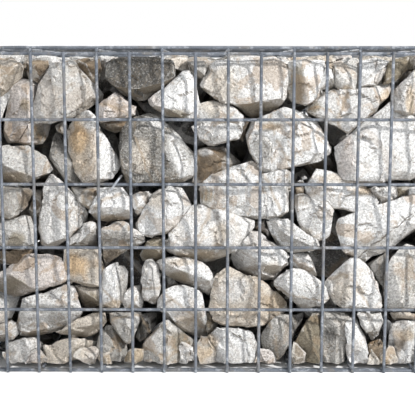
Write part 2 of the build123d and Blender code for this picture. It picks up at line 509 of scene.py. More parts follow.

# The stones that show in the picture, read from it, in pixels. The rim is a stone's outline, and
# the crest the line that stands nearest to the mesh. Slopes say how fast a stone falls away from its crest
# on the upper or left side and on the other. Behind is in millimetres from the mesh. Patches are
# (colour, across, down, half width, half height), and a crack joins two points.
# Some of the white patches are painted light on facets that face the lamp, and some darker ones painted shade
# on facets that turn away.
windowStones = {
    "topLeftCorner": dict(look="beige",
        rim=[(-14, 66), (-8, 58), (12, 56), (22, 66), (23, 77), (14, 83), (7, 94), (0, 102), (-12, 104)]),
    "tallSlab": dict(look="pink", behind=10,
        rim=[(12, 84), (16, 80), (30, 79), (40, 83), (50, 127), (48, 137), (42, 143), (30, 145), (8, 143),
            (4, 137), (2, 120)], crest=[(27, 84), (30, 143)],
        patches=[("tan", 25, 105, 5, 6), ("olive", 40, 133, 10, 9)], cracks=[((28, 127), (21, 137))]),
    "paleShield": dict(look="ash", slopes=(0.18, 0.3),
        rim=[(52, 62), (73, 61), (79, 71), (88, 82), (98, 88), (104, 95), (103, 100), (88, 109), (77, 117),
            (57, 122), (50, 126), (35, 123), (33, 108), (38, 85)], crest=[(72, 66), (62, 118)]),
    "shadedCap": dict(look="brown", behind=26,
        rim=[(26, 62), (48, 60), (50, 69), (45, 79), (39, 83), (29, 79)]),
    "leftLedge": dict(look="ash", slopes=(0.12, 0.75),
        rim=[(-12, 165), (-8, 150), (4, 146), (29, 145), (35, 150), (45, 157), (53, 169), (50, 173),
            (39, 178), (31, 182), (10, 184), (-6, 180)], crest=[(2, 163), (16, 170), (32, 179)],
        patches=[("tan", 10, 178, 16, 6)]),
    "shadedSplinter": dict(look="grey", behind=16,
        rim=[(57, 130), (66, 138), (76, 165), (81, 183), (67, 183), (46, 157), (50, 146), (54, 137)],
        crest=[(51, 157), (64, 172)]),
    "brownTip": dict(look="brown", behind=28,
        rim=[(55, 126), (62, 122), (68, 122), (69, 136), (63, 135), (57, 131)]),
    "tanSlab": dict(look="white", slopes=(0.3, 0.3),
        rim=[(68, 124), (76, 117), (86, 111), (93, 116), (100, 127), (106, 136), (116, 153), (119, 164),
            (118, 173), (114, 180), (98, 183), (82, 183), (74, 170), (68, 152)],
        crest=[(93, 118), (97, 178)], patches=[("tan", 81, 152, 14, 34), ("amber", 79, 138, 9, 12)]),
    "pinkBlock": dict(look="pink", slopes=(0.45, 0.15),
        rim=[(98, 104), (107, 98), (116, 93), (119, 94), (128, 103), (136, 107), (134, 114), (128, 116),
            (112, 120), (98, 121)], crest=[(108, 99), (106, 119)]),
    "greySliver": dict(look="brown", behind=24,
        rim=[(99, 121), (130, 118), (127, 126), (116, 134), (103, 128)]),
    "darkBlock": dict(look="dark", speckle=0.5, slopes=(0.1, 0.9),
        rim=[(104, 62), (120, 57), (158, 57), (172, 62), (175, 70), (175, 76), (165, 88), (154, 95),
            (138, 102), (130, 100), (115, 89), (105, 80)],
        crest=[(105, 82), (125, 86), (139, 90), (160, 84)]),
    "brownCap": dict(look="brown", behind=22,
        rim=[(76, 60), (100, 58), (103, 70), (101, 77), (94, 82), (88, 82), (80, 72)]),
    # its brown patch is painted shade on the right facet
    "leftWarm": dict(look="grey", slopes=(0.15, 0.6),
        rim=[(-8, 190), (2, 187), (30, 187), (33, 193), (26, 206), (16, 216), (8, 219), (-4, 215)],
        crest=[(19, 188), (22, 196), (16, 214)], patches=[("brown", 27, 200, 7, 14)]),
    "shadedWedge": dict(look="brown", behind=26,
        rim=[(35, 188), (44, 188), (42, 206), (39, 216), (33, 216), (28, 210)]),
    "speckledTower": dict(look="pale", speckle=0.4, slopes=(0.2, 0.3),
        rim=[(51, 173), (63, 183), (70, 191), (85, 206), (89, 213), (88, 222), (80, 229), (68, 236),
            (60, 245), (46, 247), (42, 243), (38, 228), (39, 215), (43, 188)], crest=[(66, 190), (67, 232)],
        patches=[("pale", 75, 215, 8, 20)]),
    "brownedWedge": dict(look="grey", behind=8,
        rim=[(71, 187), (97, 187), (99, 200), (95, 210), (88, 208), (78, 199)],
        patches=[("brown", 93, 196, 6, 6)]),
    "rightOfTower": dict(look="white", slopes=(0.1, 0.5),
        rim=[(98, 188), (122, 188), (130, 199), (131, 212), (129, 219), (119, 221), (108, 222), (97, 220),
            (88, 214), (90, 204)], crest=[(94, 207), (128, 207)], patches=[("tan", 110, 219, 18, 4)]),
    "leftPeak": dict(look="ash", slopes=(0.12, 0.6),
        rim=[(-6, 226), (3, 221), (12, 219), (22, 215), (31, 216), (34, 228), (35, 246), (30, 248),
            (-4, 248)], crest=[(24, 216), (28, 231), (33, 246)], patches=[("olive", 17, 240, 9, 7)]),
    "oliveLedge": dict(look="brown", behind=12,
        rim=[(-6, 249), (33, 249), (24, 254), (15, 263), (5, 265), (-6, 262)]),
    "leftKite": dict(look="pink", slopes=(0.12, 0.6),
        rim=[(24, 256), (34, 254), (50, 254), (62, 258), (64, 272), (66, 280), (53, 286), (39, 291),
            (22, 296), (8, 298), (0, 294), (-2, 276), (9, 271)], crest=[(8, 272), (33, 289)],
        patches=[("olive", 12, 286, 12, 9)]),
    "beigeRoof": dict(look="pale", behind=8,
        rim=[(88, 223), (95, 223), (97, 232), (97, 247), (68, 247), (69, 237), (78, 230)]),
    "amberBlock": dict(look="beige", slopes=(0.15, 0.6),
        rim=[(65, 249), (98, 249), (103, 257), (105, 267), (103, 272), (99, 286), (86, 286), (71, 283),
            (65, 277), (63, 268)], crest=[(94, 250), (97, 284)], patches=[("amber", 76, 265, 11, 11)]),
    "mossyBlock": dict(look="grey", speckle=0.4, slopes=(0.5, 0.2),
        rim=[(101, 229), (116, 222), (123, 221), (128, 224), (130, 231), (130, 249), (118, 259), (105, 267),
            (101, 255)], crest=[(103, 233), (129, 231)],
        patches=[("white", 116, 225, 14, 5), ("brown", 112, 256, 12, 9)]),
    "creasedStone": dict(look="white", slopes=(0.25, 0.55),
        rim=[(104, 270), (117, 262), (125, 264), (130, 271), (128, 280), (124, 292), (123, 301), (119, 308),
            (112, 309), (102, 306), (101, 290)], crest=[(113, 268), (115, 291), (119, 306)],
        patches=[("grey", 123, 285, 6, 18), ("tan", 112, 305, 10, 4)]),
    "greyShoulder": dict(look="pale", behind=6,
        rim=[(124, 295), (134, 286), (141, 285), (143, 300), (142, 310), (124, 310), (122, 302)]),
    "triangleFoot": dict(look="grey",
        rim=[(108, 312), (141, 312), (140, 322), (134, 334), (129, 344), (124, 341), (115, 329), (109, 321)],
        patches=[("pale", 133, 320, 7, 8)]),
    "tanWedge": dict(look="beige", behind=14,
        rim=[(74, 285), (99, 288), (102, 296), (101, 308), (86, 309), (80, 298)],
        patches=[("olive", 92, 300, 10, 7)]),
    "broadSlab": dict(look="pale", slopes=(0.35, 0.2),
        rim=[(21, 299), (34, 294), (66, 284), (73, 286), (80, 305), (84, 313), (76, 322), (63, 326),
            (53, 333), (43, 335), (33, 337), (20, 336), (16, 326), (20, 312)], crest=[(23, 302), (80, 306)],
        patches=[("grey", 55, 318, 8, 6), ("grey", 40, 309, 8, 5)]),
    "leftStub": dict(look="pale", behind=6,
        rim=[(-5, 328), (4, 323), (12, 319), (17, 322), (18, 334), (12, 338), (-4, 338)]),
    "paleSill": dict(look="pale", behind=6,
        rim=[(6, 342), (20, 339), (34, 338), (42, 344), (44, 367), (36, 379), (14, 379), (4, 369)]),
    "tanBoat": dict(look="beige", slopes=(0.15, 0.5),
        rim=[(55, 332), (68, 324), (84, 317), (92, 313), (106, 312), (107, 322), (99, 331), (86, 337),
            (71, 337), (60, 335)], crest=[(60, 331), (104, 318)]),
    "brownFoot": dict(look="grey", behind=8,
        rim=[(99, 333), (108, 326), (112, 326), (126, 342), (128, 356), (120, 379), (103, 379), (97, 350)]),
    "beigeSill": dict(look="beige",
        rim=[(44, 346), (56, 339), (72, 338), (98, 341), (100, 356), (90, 379), (60, 380), (47, 369)]),
    "sharpTooth": dict(look="white", slopes=(0.15, 0.8),
        rim=[(183, 72), (189, 71), (193, 76), (198, 91), (201, 103), (199, 117), (190, 119), (166, 117),
            (157, 110), (149, 105), (148, 100), (154, 95), (164, 92), (176, 81)],
        crest=[(165, 108), (177, 107), (186, 117)],
        patches=[("olive", 178, 114, 12, 5), ("pink", 156, 104, 9, 9)]),
    "smallCap": dict(look="grey", behind=8,
        rim=[(186, 60), (206, 60), (208, 70), (204, 76), (199, 79), (194, 75)]),
    "roofSlab": dict(look="pale", speckle=0.4, slopes=(0.1, 0.7),
        rim=[(212, 62), (240, 57), (275, 57), (288, 66), (289, 84), (287, 98), (276, 109), (264, 119),
            (252, 118), (239, 110), (227, 104), (215, 97), (203, 88), (201, 85)],
        crest=[(235, 105), (258, 96), (272, 100)],
        patches=[("beige", 220, 85, 16, 18), ("olive", 255, 108, 18, 7), ("white", 275, 78, 12, 18)]),
    "whiteFoldStone": dict(look="pale", slopes=(0.15, 0.15),
        rim=[(199, 104), (213, 100), (220, 102), (236, 108), (243, 116), (243, 132), (239, 139), (227, 143),
            (214, 147), (208, 146), (199, 140), (192, 125), (193, 119)], crest=[(208, 122), (232, 124)],
        patches=[("beige", 212, 108, 14, 8), ("white", 238, 125, 8, 14)]),
    "brownInfill": dict(look="brown", behind=26,
        rim=[(240, 113), (250, 118), (248, 130), (243, 142), (238, 140)]),
    "angledBlock": dict(look="white", slopes=(0.1, 0.4),
        rim=[(251, 121), (264, 120), (284, 107), (296, 110), (311, 118), (318, 123), (325, 134), (331, 147),
            (331, 152), (325, 156), (318, 161), (306, 164), (284, 171), (266, 175), (257, 166), (249, 153),
            (245, 141), (245, 135)], crest=[(304, 123), (318, 153)],
        patches=[("tan", 270, 127, 12, 4), ("grey", 262, 150, 10, 14)]),
    # its white patches are painted light on the lit right flank
    "bigBlock": dict(look="slate", speckle=0.9, slopes=(0.1, 0.5),
        rim=[(123, 124), (138, 117), (149, 112), (156, 115), (164, 121), (180, 137), (192, 151), (199, 162),
            (200, 171), (197, 177), (184, 181), (164, 183), (126, 184), (120, 172), (116, 146), (117, 139)],
        crest=[(138, 127), (150, 128), (163, 137), (172, 152), (180, 172)],
        patches=[("white", 178, 146, 10, 22), ("white", 160, 122, 14, 6), ("white", 188, 168, 10, 12),
            ("beige", 141, 152, 9, 11), ("beige", 140, 165, 12, 7)]),
    "mudStone": dict(look="brown", behind=18,
        rim=[(196, 149), (209, 146), (223, 147), (231, 153), (240, 162), (228, 172), (210, 183), (192, 184),
            (194, 175)], patches=[("pale", 206, 152, 6, 4)]),
    "whiteShoulder": dict(look="white", slopes=(0.4, 0.12),
        rim=[(252, 161), (258, 166), (262, 173), (267, 184), (270, 197), (270, 206), (267, 217), (258, 221),
            (252, 220), (240, 215), (226, 212), (214, 211), (200, 203), (198, 191), (208, 180), (212, 174),
            (230, 167)], crest=[(214, 184), (266, 188)],
        patches=[("white", 240, 176, 26, 9), ("olive", 206, 196, 7, 8)]),
    # its grey patch is painted shade on the narrow right facet
    "splitStone": dict(look="white", slopes=(0.1, 0.8),
        rim=[(263, 173), (273, 171), (286, 170), (291, 172), (292, 190), (290, 206), (288, 211), (278, 219),
            (268, 219), (264, 200)], crest=[(285, 172), (286, 212)], patches=[("grey", 289, 190, 3, 18)]),
    "centreBlock": dict(look="pale", slopes=(0.1, 0.6),
        rim=[(194, 204), (201, 205), (212, 212), (228, 214), (240, 217), (254, 221), (254, 226), (249, 230),
            (242, 237), (232, 244), (224, 251), (219, 257), (215, 261), (205, 262), (190, 260), (171, 254),
            (165, 248), (166, 238), (178, 225), (192, 213)], crest=[(168, 246), (240, 247)],
        patches=[("beige", 220, 234, 7, 12), ("tan", 200, 256, 24, 5), ("white", 190, 230, 12, 10)]),
    "ridgeStone": dict(look="white", slopes=(0.15, 0.45),
        rim=[(159, 188), (170, 186), (182, 188), (186, 196), (192, 206), (191, 213), (177, 226), (165, 235),
            (151, 238), (138, 235), (135, 229), (136, 223), (145, 211), (148, 202), (152, 193)],
        crest=[(172, 195), (181, 206), (170, 228)], patches=[("beige", 158, 200, 9, 9)]),
    "litWedge": dict(look="white", behind=6,
        rim=[(132, 197), (140, 192), (149, 190), (152, 193), (147, 206), (142, 215), (137, 217), (133, 209)]),
    "whiteChip": dict(look="white", behind=6,
        rim=[(132, 228), (137, 232), (146, 238), (146, 242), (138, 246), (131, 247)],
        cracks=[((133, 236), (144, 241))]),
    "oliveWedge": dict(look="olive", behind=14,
        rim=[(147, 241), (157, 238), (166, 238), (166, 258), (152, 261), (143, 260), (140, 255)]),
    "slimUpright": dict(look="pale",
        rim=[(147, 261), (152, 260), (157, 265), (161, 273), (162, 287), (159, 297), (156, 305), (148, 302),
            (142, 298), (143, 283), (144, 268)]),
    # its beige and olive patches are painted shade on the top and lower facets, and its white patch painted
    # light on the right end
    "leaningStone": dict(look="pale", slopes=(0.3, 0.6),
        rim=[(156, 262), (164, 259), (174, 257), (188, 259), (199, 262), (207, 267), (212, 274), (215, 284),
            (214, 288), (208, 293), (197, 289), (181, 283), (166, 275), (159, 268)],
        crest=[(167, 263), (192, 272), (212, 280)],
        patches=[("beige", 180, 262, 16, 4), ("olive", 178, 277, 12, 5), ("white", 207, 280, 8, 8)]),
    "slateInfill": dict(look="dark", behind=28,
        rim=[(165, 276), (172, 276), (180, 284), (178, 289), (166, 292)]),
    "kneeStone": dict(look="white", slopes=(0.12, 0.5),
        rim=[(166, 290), (174, 286), (185, 285), (194, 287), (204, 291), (205, 300), (205, 313), (207, 327),
            (208, 335), (202, 339), (195, 338), (183, 333), (173, 326), (164, 316), (158, 308), (158, 300)],
        crest=[(162, 308), (200, 312)], patches=[("beige", 188, 324, 16, 9), ("white", 200, 305, 7, 14)]),
    "broadBlock": dict(look="beige", slopes=(0.12, 0.45),
        rim=[(218, 273), (224, 266), (232, 272), (245, 278), (263, 281), (278, 294), (288, 302), (289, 311),
            (280, 319), (264, 321), (260, 326), (245, 328), (233, 327), (221, 325), (212, 319), (207, 310),
            (213, 282)], crest=[(262, 284), (263, 310)],
        patches=[("tan", 275, 304, 12, 10), ("pale", 232, 290, 16, 14)]),
    "footWhite": dict(look="white", slopes=(0.4, 0.12),
        rim=[(201, 341), (208, 334), (216, 327), (227, 326), (240, 328), (249, 330), (254, 336), (258, 346),
            (257, 369), (245, 380), (212, 380), (200, 356)], crest=[(220, 330), (222, 366)],
        patches=[("tan", 209, 346, 8, 12)]),
    "ridgedFoot": dict(look="ash", slopes=(0.3, 0.3),
        rim=[(162, 322), (168, 320), (183, 332), (196, 341), (198, 356), (188, 379), (152, 379), (140, 367),
            (143, 344)], crest=[(163, 322), (166, 345), (168, 368)], patches=[("olive", 182, 345, 12, 16)]),
    "darkFoot": dict(look="dark", behind=20,
        rim=[(141, 314), (150, 313), (157, 313), (156, 326), (146, 338), (139, 343), (135, 337)]),
    "speckInfill": dict(look="olive", behind=24,
        rim=[(205, 312), (209, 312), (213, 320), (219, 325), (213, 329), (208, 333), (206, 325)]),
    "roundBlock": dict(look="white",
        rim=[(250, 230), (257, 231), (262, 234), (270, 239), (276, 245), (284, 251), (289, 257), (289, 264),
            (287, 268), (280, 275), (273, 281), (265, 281), (249, 278), (243, 275), (234, 266), (230, 257),
            (231, 248), (237, 240)], patches=[("beige", 270, 268, 9, 6)]),
    "leanStone": dict(look="white", slopes=(0.15, 0.4),
        rim=[(266, 221), (275, 219), (288, 218), (293, 224), (301, 232), (309, 238), (317, 241), (319, 247),
            (314, 253), (296, 253), (284, 251), (276, 244), (270, 230)], crest=[(275, 222), (310, 246)]),
    "backStone": dict(look="pale", behind=18,
        rim=[(290, 253), (308, 254), (312, 262), (317, 276), (308, 274), (294, 269), (289, 262)]),
    "whitePolygon": dict(look="white", slopes=(0.15, 0.25),
        rim=[(275, 281), (283, 274), (291, 268), (298, 268), (305, 270), (320, 281), (328, 291), (329, 298),
            (325, 303), (311, 309), (303, 309), (290, 299), (279, 289), (275, 286)],
        crest=[(283, 282), (322, 292)]),
    "whiteTooth": dict(look="white", slopes=(0.4, 0.12),
        rim=[(294, 195), (304, 193), (309, 198), (322, 204), (329, 206), (334, 212), (334, 218), (332, 226),
            (330, 236), (326, 239), (319, 241), (309, 239), (300, 231), (296, 221), (295, 210)],
        crest=[(297, 209), (321, 206)], patches=[("grey", 303, 200, 9, 6), ("beige", 304, 234, 9, 7)]),
    "twoToned": dict(look="white", slopes=(0.4, 0.15),
        rim=[(288, 62), (306, 58), (324, 62), (325, 76), (321, 85), (319, 96), (316, 102), (305, 106),
            (292, 104), (287, 99), (291, 84), (288, 70)], crest=[(301, 62), (309, 93), (308, 104)],
        patches=[("olive", 297, 84, 8, 22)]),
    "sliver": dict(look="white", behind=4,
        rim=[(326, 66), (331, 69), (334, 76), (332, 85), (327, 89), (320, 95), (321, 86), (324, 77)]),
    "stainedPost": dict(look="ash",
        rim=[(333, 62), (345, 57), (358, 60), (359, 72), (358, 88), (355, 96), (343, 96), (338, 91),
            (334, 85), (335, 77)], patches=[("tan", 346, 91, 7, 5)]),
    "whiteCorner": dict(look="white",
        rim=[(360, 60), (375, 57), (390, 60), (390, 69), (387, 73), (383, 79), (381, 85), (377, 89),
            (369, 93), (361, 96), (358, 90), (359, 70)], cracks=[((376, 69), (375, 89))]),
    "oliveCap": dict(look="olive", behind=12,
        rim=[(388, 60), (408, 58), (410, 68), (404, 74), (396, 80), (390, 83), (382, 85), (384, 78)]),
    "upperBlock": dict(look="pale", slopes=(0.08, 0.6),
        rim=[(308, 108), (317, 102), (320, 96), (328, 91), (333, 88), (345, 95), (360, 96), (371, 91),
            (389, 84), (391, 90), (389, 98), (381, 104), (376, 110), (372, 118), (359, 127), (348, 134),
            (344, 132), (332, 121), (320, 114), (309, 111)], crest=[(377, 89), (383, 102)],
        patches=[("tan", 385, 97, 6, 8), ("olive", 314, 107, 6, 6)]),
    "bigSlab": dict(look="white", slopes=(0.35, 0.08),
        rim=[(390, 102), (400, 115), (416, 119), (428, 128), (430, 150), (420, 175), (409, 180), (385, 182),
            (358, 181), (341, 181), (340, 172), (336, 158), (332, 147), (345, 139), (356, 131), (370, 121)],
        crest=[(356, 134), (355, 180)], patches=[("pink", 346, 160, 9, 26)]),
    "rightTop": dict(look="pale",
        rim=[(416, 66), (409, 73), (404, 80), (398, 83), (395, 88), (394, 100), (394, 113), (402, 117),
            (420, 118), (434, 108), (432, 76)], patches=[("tan", 411, 101, 5, 12)]),
    "rightWhite": dict(look="white", slopes=(0.15, 0.3),
        rim=[(336, 227), (339, 220), (346, 219), (355, 217), (375, 215), (389, 202), (402, 198), (416, 195),
            (430, 200), (428, 224), (415, 233), (402, 238), (390, 245), (382, 251), (373, 259), (365, 262),
            (351, 257), (343, 251), (338, 238)], cracks=[((386, 235), (372, 246))]),
    "saddleStone": dict(look="white", slopes=(0.25, 0.25),
        rim=[(316, 169), (330, 172), (342, 176), (354, 182), (368, 187), (376, 194), (381, 203), (379, 212),
            (372, 216), (356, 212), (342, 209), (324, 204), (316, 203), (305, 195), (303, 187), (309, 178)],
        crest=[(312, 188), (376, 203)], patches=[("tan", 364, 191, 12, 5), ("beige", 330, 178, 14, 5)]),
    "darkSpottedChip": dict(look="pale", speckle=1, behind=8,
        rim=[(371, 188), (396, 187), (396, 196), (390, 201), (381, 204), (376, 195)]),
    "shadedChip": dict(look="olive", behind=24,
        rim=[(396, 187), (410, 187), (408, 196), (396, 199)]),
    "edgeChip": dict(look="white", behind=6,
        rim=[(410, 188), (424, 186), (430, 192), (416, 195), (409, 196)]),
    "gapPebble": dict(look="tan", behind=20,
        rim=[(296, 188), (303, 187), (304, 193), (297, 194)]),
    "gapWhite": dict(look="white", behind=16,
        rim=[(298, 182), (301, 177), (306, 176), (309, 178), (304, 183)]),
    "triangle": dict(look="white", slopes=(0.28, 0.15),
        rim=[(350, 258), (357, 257), (365, 263), (373, 273), (378, 287), (382, 297), (383, 303), (380, 308),
            (372, 310), (355, 308), (343, 307), (336, 303), (327, 293), (324, 284), (338, 269)],
        crest=[(355, 260), (354, 306)], patches=[("beige", 343, 288, 11, 18)]),
    "dimWedge": dict(look="grey", behind=24,
        rim=[(368, 264), (386, 252), (389, 262), (387, 285), (384, 293), (378, 282)]),
    "greyRight": dict(look="ash", speckle=0.7, slopes=(0.4, 0.12),
        rim=[(407, 244), (413, 246), (428, 255), (430, 290), (424, 309), (404, 311), (386, 310), (384, 288),
            (386, 273), (393, 257), (400, 249)], crest=[(392, 258), (394, 270), (399, 282), (402, 300)],
        patches=[("grey", 410, 275, 12, 16), ("pale", 390, 285, 7, 18)]),
    "speckledFoot": dict(look="grey", speckle=0.7, behind=4,
        rim=[(275, 322), (288, 314), (303, 313), (303, 319), (294, 331), (290, 342), (284, 356), (270, 369),
            (260, 350), (261, 336), (266, 328)]),
    "beigeFoot": dict(look="olive", behind=4,
        rim=[(312, 312), (320, 312), (321, 345), (318, 371), (306, 380), (292, 377), (290, 350), (300, 333),
            (309, 321)]),
    "mottledFoot": dict(look="grey", speckle=0.4,
        rim=[(322, 312), (343, 312), (350, 315), (351, 321), (348, 332), (346, 350), (342, 377), (328, 380),
            (321, 352)], patches=[("dark", 330, 335, 7, 8)]),
    "whiteSliver": dict(look="white",
        rim=[(351, 314), (358, 317), (363, 330), (365, 347), (362, 373), (352, 379), (347, 352), (350, 328)]),
    "pointedFoot": dict(look="pale",
        rim=[(358, 313), (381, 312), (384, 322), (379, 335), (372, 340), (365, 334), (360, 325)],
        patches=[("grey", 370, 332, 8, 6)]),
    "thinSill": dict(look="beige", behind=6,
        rim=[(388, 312), (414, 312), (424, 314), (413, 319), (394, 320)]),
    "cornerFoot": dict(look="white",
        rim=[(388, 328), (394, 322), (415, 319), (428, 322), (432, 345), (424, 375), (400, 379), (388, 352)],
        patches=[("tan", 405, 335, 10, 7), ("dark", 398, 345, 8, 6)]),
    "lastFoot": dict(look="brown", behind=10,
        rim=[(368, 344), (380, 338), (386, 346), (387, 371), (378, 379), (367, 377)]),
}

# Colours of the broken faces, as plain reflectance
stoneColours = {
    "white": (0.80, 0.797, 0.79),
    "pale": (0.765, 0.752, 0.735),
    "ash": (0.63, 0.615, 0.59),
    "grey": (0.44, 0.425, 0.40),
    "slate": (0.29, 0.28, 0.26),
    "beige": (0.64, 0.58, 0.505),
    "pink": (0.68, 0.625, 0.59),
    "tan": (0.60, 0.49, 0.365),
    "amber": (0.62, 0.44, 0.26),
    "olive": (0.27, 0.235, 0.175),
    "brown": (0.21, 0.165, 0.12),
    "dark": (0.115, 0.112, 0.106),
}

stoneMaking = {
    "seed": 11,
    "reliefSeed": 11,         # any whole number but 0, which would take the time of day
    "fineEdge": 0.0050,       # longest triangle edge on the stones of the picture
    "faceEdge": 0.0090,       # on the other stones that show
    "deepEdge": 0.0200,       # just behind them
    "hiddenEdge": 0.0600,
    "mostSplits": 10,         # how often an edge may be halved
    "faceReach": 0.030,       # how far in from the mesh the fine faces go
    "deepReach": 0.080,
    "wornEdge": 0.09,         # how much smoothing rounds the edges that show
    "hiddenWear": 0.1,
    "crispFrom": 19.0,        # edges that turn by more degrees than this stay crisp
    "ridgeFrom": 9.0,         # and edges between two flats of a block from this
    "chamfer": 0.0212,        # cut off the upright corners of a bay, where the binders run
    "merged": 0.0003,         # corners that are nearer than this become one
    "flatWithin": 3.0,        # degrees
    "thinnest": 0.0025,       # from a block's middle to its nearest cut
    "fewestCorners": 5,
    "tolerance": 1e-5,
    "swell": 0.0022,          # metres, because broken facets only cut in
    "lumps": dict(perMetre=38, high=0.0005, octaves=(1.0, 2.0, 3)),
    "grit": dict(perMetre=150, high=0.0003, octaves=(0.8, 2.1, 3)),
    "facets": ((26.0, 0.29), (75.0, 0.09)),   # broken facets per metre, and how much they lean
    "facetSeed": 7.31,
    "grainShift": 9.0,        # how far each stone's own pattern is moved, and that of its patches
    "patchShift": 50.0,
    "lineShift": 0.01,
    "patchWaver": (70, 0.45), # how many to a metre, and how far, as a share of the patch
    "patchEdge": (1.3, 0.6),  # where a patch ends, and over how long it fades, as shares of it too
    "colourSpread": (0.92, 1.06),
    "bedded": (0.1, 0.8),     # how plainly the beds and the rust show
    "rusty": (0.1, 0.75),
    "darkRust": 0.2,          # share of that rust on dark stones
    "veined": 0.35,           # how many stones have a vein, and how many of the unseen a crack
    "cracked": 0.3,
}

windowMaking = {
    "setBack": (0.0005, 0.004),    # metres from the mesh to a crest
    "relief": 1.5,            # steepens every slope that was read from the picture
    "farRelief": 1.5,         # and the right or lower side once more
    "falls": (0.003, 0.052),  # least and most from the crest back to the rim
    "crestReach": 0.28,       # of the stone's span, where no crest was read
    "crestShift": 0.12,
    "crestTurn": 0.5,
    "crestWaver": 0.002,
    "rimWaver": 0.0006,
    "slopes": ((0.15, 0.4), (0.3, 0.75)),     # where none were read
    "knuckles": 2,            # between the crest and the rim
    "knuckleShare": (0.4, 0.8),
    "knuckleSunk": (0.25, 0.8),
    "bevel": (1.0, 3.0),      # pixels inside the rim, and how steeply that strip falls
    "bevelSlope": (1.0, 2.4),
    "bevelMost": 0.16,        # of the way to the middle
    "waist": (0.985, 0.25),   # how far the block is drawn in behind its rim, and how deep that is
    "back": 0.72,             # how far its back is drawn in
    "thickness": (0.03, 0.075),
    "thicknessShare": 0.7,    # of its smaller span
    "thicknessWaver": 0.012,
    "middleInside": 0.006,    # least from the walls of the bay to the point that a block is cut round
    "frontChips": (5, 0.02, 0.075, 0.35),     # how many, least and most as shares of its span, facing
    "otherChips": (3, 0.01, 0.05, -1.0),
    "speckles": (0.0, 0.1, 0.25),
    "patchCover": 0.85,
    "leftUpTo": 0.37,         # metres along the wall: where the first of the two pieces ends
}

packing = {
    "classes": [              # radius from and to, tries, how close two may come as a share of their radii
        (0.056, 0.068, 5000, 0.84),
        (0.042, 0.052, 9000, 0.82),
        (0.030, 0.037, 14000, 0.82),
        (0.020, 0.026, 16000, 0.84),
        (0.013, 0.018, 5000, 0.86),
    ],
    "middleSize": 0.035,      # smaller stones only go where they can be seen
    "chipSize": 0.019,        # and the smallest only on the base mesh, in front and behind
    "mostStones": 2000,
    "walls": (0.27, 0.54, 0.72, 0.82),        # up to where a draw puts a stone at the front, back, top, end
    "inset": 0.55,            # these are shares of a stone's radius
    "touching": (0.50, 0.80),
    "clear": 0.55,
    "rodClear": 0.35,
    "windowSpare": 0.5,
    "reach": 1.6,             # how far away a neighbour still cuts a stone
    "pairReach": 1.5,
    "wallReach": 1.3,
    "gap": 0.0020,            # metres between neighbours
    "tilt": 0.30,             # how far the joints between stones lean from square
    "shareSpread": 0.05,
    "pairStep": 5000,         # above mostStones, so that each pair has its own number
    "seenDepth": 0.065,       # metres in from the mesh
    "windowDepth": 0.030,
    "windowSides": ((-10, 200), (428, 200)),  # pixels: where the stones of the picture end
    "peakDepth": (0.0005, 0.006),             # metres behind the mesh, and on top
    "topPeakDepth": (0.0005, 0.009),
    "peakShift": 0.3,         # to each side, as a share of the radius
    "facetTilt": (4, 34),     # degrees from the mesh, and on top
    "topFacetTilt": (3, 16),
    "facetTurn": 0.5,
    "longer": (1.15, 1.5),
    "flatter": (0.7, 0.95),
    "ownFacets": 7,
    "ownReach": (0.62, 1.0),
    "frontUpTo": -0.06,       # metres through the wall: where the front and the core pieces end
    "coreUpTo": 0.06,
    "looks": ["white"] * 11 + ["pale"] * 11 + ["grey"] * 4 + ["beige"] * 5 + ["pink"] * 4
             + ["tan", "olive", "dark"],
    "patchLooks": ["tan", "beige", "olive", "grey", "white", "pale", "pink", "brown"],
    "patchCounts": (0, 1, 1, 2),
    "patchReach": (0.012, 0.035),
    "patchCover": (0.4, 0.9),
    "speckles": (0, 0.1, 0.2, 0.7),
    "shadeFrom": 0.020,        # painted shade: how deep the stones keep their own colour, and where they are as dark as they get
    "shadeTo": 0.075,
    "darkest": 0.15,
}

tieMaking = {
    "wire": 0.0040,
    "sides": 10,
    "bend": 0.0052,
    "bendNet": 5,             # points round a bend
    "clearance": 0.0035,      # from the middle of a tie to the stones
}

chance = random.Random(stoneMaking["seed"])
noise.seed_set(stoneMaking["reliefSeed"])


def spread(reach):
    # A draw to either side of nothing
    return chance.uniform(-reach, reach)


def randomDirection():
    while True:
        found = Vector([spread(1) for axis in range(3)])
        if 0.1 < found.length < 1:
            return found.normalized()


def hullOf(points):
    # The convex hull as corners, triangles and one row (normal, distance from the origin) per flat face
    work = bmesh.new()
    for point in points:
        work.verts.new(point)
    bmesh.ops.remove_doubles(work, verts=work.verts, dist=stoneMaking["merged"])
    bmesh.ops.convex_hull(work, input=work.verts)
    loose = [corner for corner in work.verts if not corner.link_faces]
    bmesh.ops.delete(work, geom=loose, context="VERTS")
    bmesh.ops.recalc_face_normals(work, faces=work.faces)
    flat = math.radians(stoneMaking["flatWithin"])
    bmesh.ops.dissolve_limit(work, angle_limit=flat, verts=work.verts, edges=work.edges)
    work.normal_update()
    flats = [[*face.normal, face.normal.dot(face.verts[0].co)] for face in work.faces]
    bmesh.ops.triangulate(work, faces=work.faces, quad_method="BEAUTY", ngon_method="BEAUTY")
    work.verts.index_update()
    corners = np.array([corner.co for corner in work.verts])
    triangles = np.array([[corner.index for corner in face.verts] for face in work.faces])
    work.free()
    return corners, triangles, np.array(flats)


